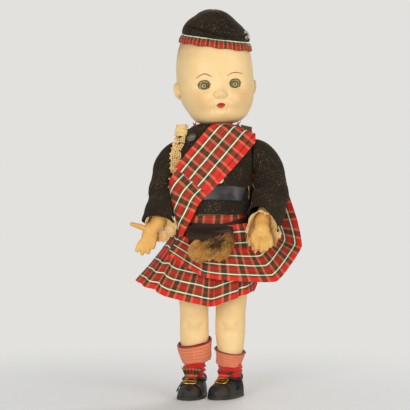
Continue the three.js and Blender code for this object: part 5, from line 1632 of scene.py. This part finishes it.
def make_bow():
    bits = Bits()
    x = SHOE_HALF + 0.4
    for way, lift in ((1, 17.5), (-1, 11.5)):
        t = np.linspace(0, TAU, 26)
        y = -1 + 3.2 * np.sin(t / 2) * np.cos(t)
        loop = joined(x + 1.4 * np.sin(t), y, lift + way * 3.4 * np.sin(t / 2))
        strip = np.stack([loop + [0, wide, 0] for wide in (-2, 0, 2)], 1)
        bits.sheet(in_shoe(strip, "left"), 0.5)
    bits.ball(in_shoe((x + 0.4, -0.6, 14.5), "left"), (1.8, 2, 2.2))
    for y, z in ((-5, 8.5), (3, 7.6)):
        bits.tube(in_shoe([(x, -0.6, 14), (x + 0.8, y * 0.6, 11), (x + 0.2, y, z)], "left"), 0.8, 8, 10)
    dressed(bits.make("left_black_bow", SHOE_LEATHER), "left_leg", "leather", "left_shoe_bow")


# Head, in a frame with its origin at the neck pivot

HEAD_HALF = np.array([38.4, 40.5, 47.5])
HEAD_TOP = 58.0
SKULL_POWER = 2.5
CHIN_POWER = 2.95
JAW_SHIFT = 2.4
FACE_SHIFT = -1.2
HEAD_LIFT = 50.0
HEAD_FRAME = placed(NECK) @ turned(-3.7, "Y") @ turned(8, "Z")
EYE_X = 15.5
EYE_HEIGHT = 39.2
EYE_RADIUS = 7.5
EYE_HALF = (5.9, 4.1)
EYE_INSET = 0.9
IRIS_RADIUS = 6.2
# The tool that opens a socket: its size and its place behind the eye's middle
SOCKET_CUT = [(1.15, -18), (1, -7.2), (0.98, -5.4), (0.98, 1)]
LIP_LINE = 19.6
LIP_HALF = 4.4
LIP_SEAM = [(-3.8, 0.1, 0.12), (-1.4, 0.4, 0.3), (0, 0.1, 0.3), (1.4, 0.4, 0.3), (3.8, 0.1, 0.12)]

# Painted shade in the face's creases, by the nose wings and under the nostrils: sideways, up, half
# width
FACE_SHADE_STROKES = {
    "right_nose_shade_line": [(-5.6, 26.8, 0.1), (-7, 29.4, 0.4), (-6.6, 31.4, 0.35), (-5.2, 33.4, 0.1)],
    "left_nose_shade_line": [(5.2, 26.6, 0.1), (6.5, 29.2, 0.35), (6, 31.2, 0.3), (4.8, 32.8, 0.1)],
    "right_nostril_shade": [(-3.9, 26.5, 0.1), (-3.2, 26.8, 0.5), (-2.2, 26.6, 0.1)],
    "left_nostril_shade": [(3.8, 26.3, 0.1), (3, 26.6, 0.45), (2.1, 26.4, 0.1)],
}

# Swellings of the face: sideways, up from the skull's centre, spread, spread up, height.
# One that lies to a side is there on both.
FEATURES = [
    (15, -25, 10, 8.5, 3.6), (0, -40, 9, 5.5, 3.2), (0, -31, 8, 5, 1.4),
    (EYE_X, -10.8, 9, 6.5, -2.2), (0, -19.6, 4.8, 4.4, 4.0), (0, -20.2, 2.8, 2.6, 1.2),
    (4.6, -21.6, 1.9, 1.8, 1.5), (7.2, -20.5, 1.5, 3, -0.9), (0, -9, 3.6, 8, 1.4),
    (1.6, -28.6, 2.2, 1.4, 1.0), (0, -32, 3.0, 1.5, 1.3), (0, -30.3, 3.8, 0.6, -0.8),
    (7.5, -33.5, 1.6, 3.4, -1.6), (9.5, -27, 1.7, 2.6, -1.2), (0, -35.6, 4.4, 1.4, -1.4),
]


def head_shape(rows, cols):
    lat = np.linspace(-0.497 * math.pi, 0.497 * math.pi, rows)[:, None]
    lon = turns(cols)[None, :]
    lon = lon + 0.175 * np.sin(2 * lon)
    way = joined(np.cos(lat) * np.cos(lon), np.cos(lat) * np.sin(lon), np.sin(lat))
    tall = np.where(way[..., 2] > 0, HEAD_TOP, HEAD_HALF[2])
    half = joined(HEAD_HALF[0], HEAD_HALF[1], tall)
    power = lerp(SKULL_POWER, CHIN_POWER, smooth(-0.7, -0.95, way[..., 2]))[..., None]
    total = (np.abs(way / half) ** power).sum(-1, keepdims=True)
    points = way * total ** (-1 / power)
    points[..., 0] += JAW_SHIFT * smooth(-0.15, -0.75, points[..., 2] / HEAD_HALF[2])
    facing = np.clip(-way[..., 1] * 2, 0, 1)
    flat = points.copy()
    for x, z, wide, high, height in FEATURES:
        for place in sorted({x, -x}, reverse=True):
            away = ((flat[..., 0] - place - FACE_SHIFT) / wide) ** 2 + ((flat[..., 2] - z) / high) ** 2
            points[..., 1] -= height * facing * np.exp(-(away**1.3))
    return points + [0, 0, HEAD_LIFT]


def skin_tree(piece):
    """Where the head's skin lies, in millimetres of the head's frame."""
    points = [tuple(v.co / MM) for v in piece.data.vertices]
    return BVHTree.FromPolygons(points, [tuple(p.vertices) for p in piece.data.polygons])


def on_face(tree, x, z, out=0.0):
    hit = tree.ray_cast(Vector((x, -100, z)), Vector((0, 1, 0)))
    return np.array([x, hit[0].y - out, z])


def make_head():
    head = Bits().loft(head_shape(170, 230)).make("doll_head", FACE, HEAD_FRAME)
    tree = skin_tree(head)
    eyes = {}
    for side, way in SIDES.items():
        front = on_face(tree, way * EYE_X + FACE_SHIFT, EYE_HEIGHT)
        eyes[side] = front + [0, EYE_INSET + EYE_RADIUS, 0]
    cut_sockets(head, eyes)
    dressed(head, "head", "celluloid", "head_shell")
    return tree, eyes


def cut_sockets(head, eyes):
    cutter = Bits()
    for centre in eyes.values():
        t = turns(48)
        lid = np.where(np.sin(t) > 0, 1.0, 0.9)
        ring = joined(EYE_HALF[0] * signed_power(np.cos(t), 0.9), 0.0, EYE_HALF[1] * lid * np.sin(t))
        rings = [centre + ring * [k, 1, k] + [0, y, 0] for k, y in SOCKET_CUT]
        cutter.loft(np.array(rings))
    tool = cutter.make("eye_cutter", FACE, HEAD_FRAME)
    cut = head.modifiers.new("sockets", "BOOLEAN")
    cut.operation = "DIFFERENCE"
    cut.object = tool
    cut.solver = "EXACT"
    applied(head)
    bpy.data.objects.remove(tool)
    shade(head.data, 40)


def make_ears():
    bits = Bits()
    for way in SIDES.values():
        centre = np.array([way * (HEAD_HALF[0] - 0.6), 1.5, HEAD_LIFT - 11])
        bits.ball(centre + [way * 0.4, 0, 0.6], (3.2, 4.2, 7.2), 24, 18)
        t = np.linspace(-0.45, 1.2, 30) * math.pi
        rise = np.sin(t)
        stand = 3.4 * np.sqrt(1 - (0.96 * rise) ** 2) + 1.1 * rise - 0.2
        helix = joined(stand, 1.2 - 3.8 * np.cos(t), 7.7 * rise)
        bits.tube(centre + helix * [way, 1, 1], 1.1, 10, 60)
    dressed(bits.make("doll_ears", FACE, HEAD_FRAME), "head", "celluloid")


def make_neck():
    neck = Bits().loft(lathe([[8, -12.5], [11.5, -6.5], [13, 0], [12.6, 6], [13.4, 14], [15, 20]], 56))
    dressed(neck.make("doll_neck", SKIN, HEAD_FRAME), "head", "celluloid")


def make_eyes(eyes):
    for side, centre in eyes.items():
        v, turn = ring_of(40, 64)
        tilt = v * math.pi * 0.55
        out = joined(np.sin(tilt) * np.cos(turn), -np.cos(tilt), np.sin(tilt) * np.sin(turn))
        corneal = 0.5 * hump(tilt, 0, 0.4)
        grid = centre + out * (EYE_RADIUS + corneal)[..., None]
        uv = joined(np.arange(64) / 64, np.sin(tilt) * EYE_RADIUS / IRIS_RADIUS)
        eye = Bits().loft(grid, uv).make(f"{side}_glass_eye", EYE, HEAD_FRAME)
        dressed(eye, "head", "glass", f"{side}_eye")


def painted(name, material, tree, rows, out=0.1):
    """A stroke of paint on the face: rows of x, z and half width, on a smooth path."""
    found = curve(rows, np.linspace(0, 1, 26))
    path = found[:, :2]
    tangent = unit(np.gradient(path, axis=0))
    side = joined(-tangent[:, 1], tangent[:, 0])
    share = np.linspace(-1, 1, 7)
    grid = np.zeros((26, 7, 3))
    for i in range(26):
        for j in range(7):
            x, z = path[i] + side[i] * share[j] * max(found[i, 2], 0.05)
            grid[i, j] = on_face(tree, x, z, out * (1 - 0.7 * share[j] ** 2))
    piece = Bits().sheet(grid, 0.15).make(name, material, HEAD_FRAME)
    dressed(piece, "head", "celluloid")


def make_paint(tree):
    brows = {
        "right": [(-24, 47.2, 0.15), (-18.5, 50.3, 0.55), (-14.5, 50.4, 0.6), (-9, 47.4, 0.25)],
        "left": [(6.2, 47.6, 0.15), (11.5, 50.2, 0.4), (16.5, 50.6, 0.4), (22.6, 49.2, 0.2)],
    }
    lid = [(-1, 0.1, 0.1), (-0.6, 0.86, 0.45), (0, 1.06, 0.55), (0.6, 0.86, 0.5), (1.02, 0.1, 0.15)]
    for side, way in SIDES.items():
        painted(f"{side}_brow", BROW, tree, brows[side])
        middle = way * EYE_X + FACE_SHIFT
        lash = [(middle + way * 6.4 * c, EYE_HEIGHT + 0.4 + 4.4 * s, half) for c, s, half in lid]
        painted(f"{side}_lash_line", LASH, tree, lash)
    v, u = mesh_of(15, 31)
    across = 2 * u - 1
    bow = (1 - np.abs(across) ** 1.7) * (1 - 0.2 * hump(across, 0, 0.2))
    upper = LIP_LINE + 2.3 * bow
    lower = LIP_LINE - 2.9 * np.sqrt(np.maximum(1 - across**2, 0))
    grid = np.zeros((*v.shape, 3))
    for index in np.ndindex(v.shape):
        x = LIP_HALF * across[index] + FACE_SHIFT
        grid[index] = on_face(tree, x, lerp(lower[index], upper[index], v[index]), 0.12)
    dressed(Bits().sheet(grid, 0.2).make("lips", LIP, HEAD_FRAME), "head", "celluloid")
    seam = [(x + FACE_SHIFT, LIP_LINE + rise, half) for x, rise, half in LIP_SEAM]
    painted("lip_seam", LIP_SHADE, tree, seam, 0.34)
    # Strokes of painted shade by the nose wings and under the nostrils.
    for name, rows in FACE_SHADE_STROKES.items():
        painted(name, FACE_SHADE_PAINT, tree, [(x + FACE_SHIFT, z, half) for x, z, half in rows], 0.06)


# Cap, in a frame at the middle of its band

CAP_FRAME = Matrix.Translation(Vector((0, -1, HEAD_LIFT + 36.8))) @ turned(11, "X") @ turned(9, "Y")
CAP_TURN = np.array(CAP_FRAME.to_3x3())
CAP_PLACE = np.array(CAP_FRAME.translation)
BAND_HEIGHT = 8.0
CROWN_HEIGHT = 28.5
CROWN_EASE = 1.6
FLECKS = 120
# Share of the crown's height, sideways shift of its middle, half width and half depth
CROWN = [
    [0, 2, 34, 36], [0.19, 1.8, 33.4, 36.3], [0.37, 1.2, 30.8, 35.8], [0.55, 0.4, 25.9, 34.8],
    [0.72, 0, 19.4, 32.8], [0.86, -0.8, 14, 30.3], [0.95, -0.6, 9, 28], [1, 0, 3.6, 24],
]
# Where the crown's felt is folded over above the band: sideways, up from the band
TUCK = [[-32, 9], [-20, 7.4], [-6, 5], [10, 3.6], [26, 4.6], [34, 5]]


def in_cap(points):
    return np.asarray(points, float) @ CAP_TURN.T + CAP_PLACE


def band_point(tree, angle, height, out):
    """On the skull's skin round the cap's axis, moved outward."""
    way = CAP_TURN @ [math.cos(angle), math.sin(angle), 0]
    hit = tree.ray_cast(Vector(in_cap([0, 0, height]) + 90 * way), Vector(-way))
    return np.array(hit[0]) + way * out


def crown_point(angle, v):
    """The crown in the cap's frame, and the way out of it."""
    found = through(CROWN, v)
    x = found[..., 1] * signed_power(np.cos(angle), 2 / 2.2)
    y = found[..., 2] * signed_power(np.sin(angle), 2 / 2.2)
    place = joined(found[..., 0] + x, y, BAND_HEIGHT / 2 + v * CROWN_HEIGHT)
    return place, unit(joined(x, y * 0.8, 6))


def make_band(tree):
    v, u = mesh_of(9, 181)
    angle = TAU * u + math.pi / 2
    grid = np.zeros((*v.shape, 3))
    for index in np.ndindex(v.shape):
        height = BAND_HEIGHT * (0.5 - v[index]) + 0.5 * v[index] * math.sin(13 * angle[index])
        grid[index] = band_point(tree, angle[index], height, 1.5 + 0.8 * math.sin(math.pi * v[index]))
    uv = joined(19.1 - 8.2 * v, 2 * arc_length(grid[4])[None, :])
    band = Bits().sheet(grid, 0.8, uv=uv).make("hat_band", TARTAN, HEAD_FRAME)
    dressed(band, "head", "tartan", "cap_band")


def make_crown(tree):
    v, angle = ring_of(70, 140)
    shape, out = crown_point(angle, v)
    front = smooth(0.2, -0.5, np.sin(angle))
    fold = through(TUCK, shape[..., 0])[..., 0] / CROWN_HEIGHT
    tuck = -3.0 * hump(v, fold, 0.035) + 1.6 * hump(v, fold - 0.09, 0.07)
    tuck = tuck + 0.8 * hump(v, fold + 0.1, 0.06)
    dent = -4.5 * hump(shape[..., 0], 0.5, 5) * hump(v, 0.52, 0.14)
    wobble = 0.6 * ripple(shape, 26, 17) * smooth(0, 0.2, v)
    shape = shape + out * (front * (tuck + dent) + wobble)[..., None]
    shape[..., 2] -= 1.6 * hump(shape[..., 0], -1, 1.6) * smooth(0.85, 1, v)
    shape = in_cap(shape)
    foot = np.array([band_point(tree, a, BAND_HEIGHT / 2 - 0.6, 1.9) for a in angle[0]])
    shape = lerp(foot[None], shape, smooth(0, 0.1, v)[..., None])
    for index in np.ndindex(v.shape):
        near = tree.find_nearest(Vector(shape[index]))
        gap = np.dot(shape[index] - np.array(near[0]), near[1])
        if gap < CROWN_EASE:
            shape[index] += np.array(near[1]) * (CROWN_EASE - gap)
    crown = Bits().loft(shape).make("hat_crown", CAP_WOOL, HEAD_FRAME)
    dressed(crown, "head", "felt", "cap_crown")


def make_tuft():
    """Pale fluff caught on the crown at the doll's left."""
    rng = np.random.default_rng(12)
    count = FLECKS
    root, out = crown_point(rng.normal(-0.32, 0.17, count), rng.uniform(0.05, 0.38, count))
    way = unit(rng.normal(0, 1, (count, 3)) * [0.5, 1, 1])
    way = unit(way - out * (way * out).sum(-1, keepdims=True) + 0.25 * out)
    bits = Bits()
    for k in range(count):
        start = root[k] + 0.4 * out[k]
        tip = start + way[k] * rng.uniform(0.5, 1.5)
        bend = (start + tip) / 2 + 0.4 * out[k]
        bits.tube(in_cap([start, bend, tip]), (0.45, 0.42, 0.2), 5, 5)
    dressed(bits.make("hat_tuft", WHITE, HEAD_FRAME), "head", "white_tuft", "cap_cockade")


TORSO_CLOTHES = [
    make_jacket, make_belt, make_belt_buckle, make_sash_fold, make_sash_front, make_sash_back,
    make_sash_over, make_jabot, make_collar, make_crested_button, make_shell_button, make_tab,
    make_kilt, make_waistband, make_strap, make_plaid, make_plaid_fold, make_flap, make_pouch,
]
LIMBS = [
    make_sleeve, make_arm, make_cuff, make_leg, make_sock, make_sock_cuff, make_shoe_upper,
    make_sole, make_shoe_buckle, make_tongue,
]
for make in TORSO_CLOTHES:
    make()
for side in SIDES:
    for make in LIMBS:
        make(side)
make_bow()
skin, eyes = make_head()
make_ears()
make_neck()
make_eyes(eyes)
for make in (make_paint, make_band, make_crown):
    make(skin)
make_tuft()


# Studio

PALE = srgb(226, 225, 222)
FLOOR_REACH = 12.0
WORLD_STRENGTH = 0.36
# Lamps: where each stands and points to in metres, its width in metres, its watts
LAMPS = [
    ("key", (-0.6, -1.45, 0.42), (0, 0, 0.18), 0.8, 12),
    ("fill", (0.9, -1.0, 0.4), (0, 0, 0.2), 0.9, 6),
    ("rim", (0.3, 1.1, 1.0), (0, 0, 0.25), 0.8, 8),
]
# Camera: its sensor in millimetres, its focal length in pixels of a frame this many pixels wide
SENSOR = 36
FOCAL_PIXELS = 1280
FRAME_PIXELS = 410
CAMERA_PLACE = (-0.0123, -1.293, 0.194)


def make_floor():
    mesh = bpy.data.meshes.new("floor")
    corners = [(x * FLOOR_REACH, y * FLOOR_REACH, 0) for x, y in ((-1, -1), (1, -1), (1, 1), (-1, 1))]
    mesh.from_pydata(corners, [], [(0, 1, 2, 3)])
    floor = linked("floor", mesh)
    look = Look("studio_floor", Roughness=0.9, Specular_IOR_Level=0.1)
    where = look.place()
    paper = look.noise(where, 30.0, 4.0)
    grain = look.ramp(paper, (0.3, 0.0), (0.7, 0.06))
    look.put("Base Color", look.mix(grain, srgb(241, 241, 239), srgb(228, 227, 225)))
    glow = look.add("Emission", {"Color": PALE, "Strength": 1.0})
    away = look.add("VectorMath", {0: where}, output="Value", operation="LENGTH")
    far = look.span(away, 0.12, 0.55, 0.0, 1.0, "SMOOTHSTEP")
    share = look.times(far, look.seen())
    look.show("Material Output", look.add("MixShader", {0: share, 1: look.shader.outputs[0], 2: glow}))
    mesh.materials.append(look.material)


def make_world():
    world = bpy.data.worlds.new("studio")
    bpy.context.scene.world = world
    world.use_nodes = True
    nodes = Nodes(world.node_tree)
    nodes.tree.nodes.clear()
    nodes.tree.nodes.new("ShaderNodeOutputWorld")
    soft = nodes.add("Background", {"Color": (1, 1, 1, 1), "Strength": WORLD_STRENGTH})
    pale = nodes.add("Background", {"Color": PALE})
    nodes.show("World Output", nodes.add("MixShader", {0: nodes.seen(), 1: soft, 2: pale}))


def make_lamp(name, place, target, size, power):
    data = bpy.data.lights.new(name, "AREA")
    data.shape = "DISK"
    data.size = size
    data.energy = power
    lamp = linked(name, data)
    lamp.location = place
    lamp.rotation_euler = (Vector(target) - Vector(place)).to_track_quat("-Z", "Y").to_euler()


def make_camera():
    data = bpy.data.cameras.new("camera")
    data.sensor_width = SENSOR
    data.lens = SENSOR * FOCAL_PIXELS / FRAME_PIXELS
    camera = linked("camera", data)
    camera.location = CAMERA_PLACE
    camera.rotation_euler = (math.pi / 2, 0, 0)
    bpy.context.scene.camera = camera


make_floor()
make_world()
for name, place, target, size, power in LAMPS:
    make_lamp(name, place, target, size, power)
make_camera()
bpy.context.scene.view_settings.view_transform = "Standard"
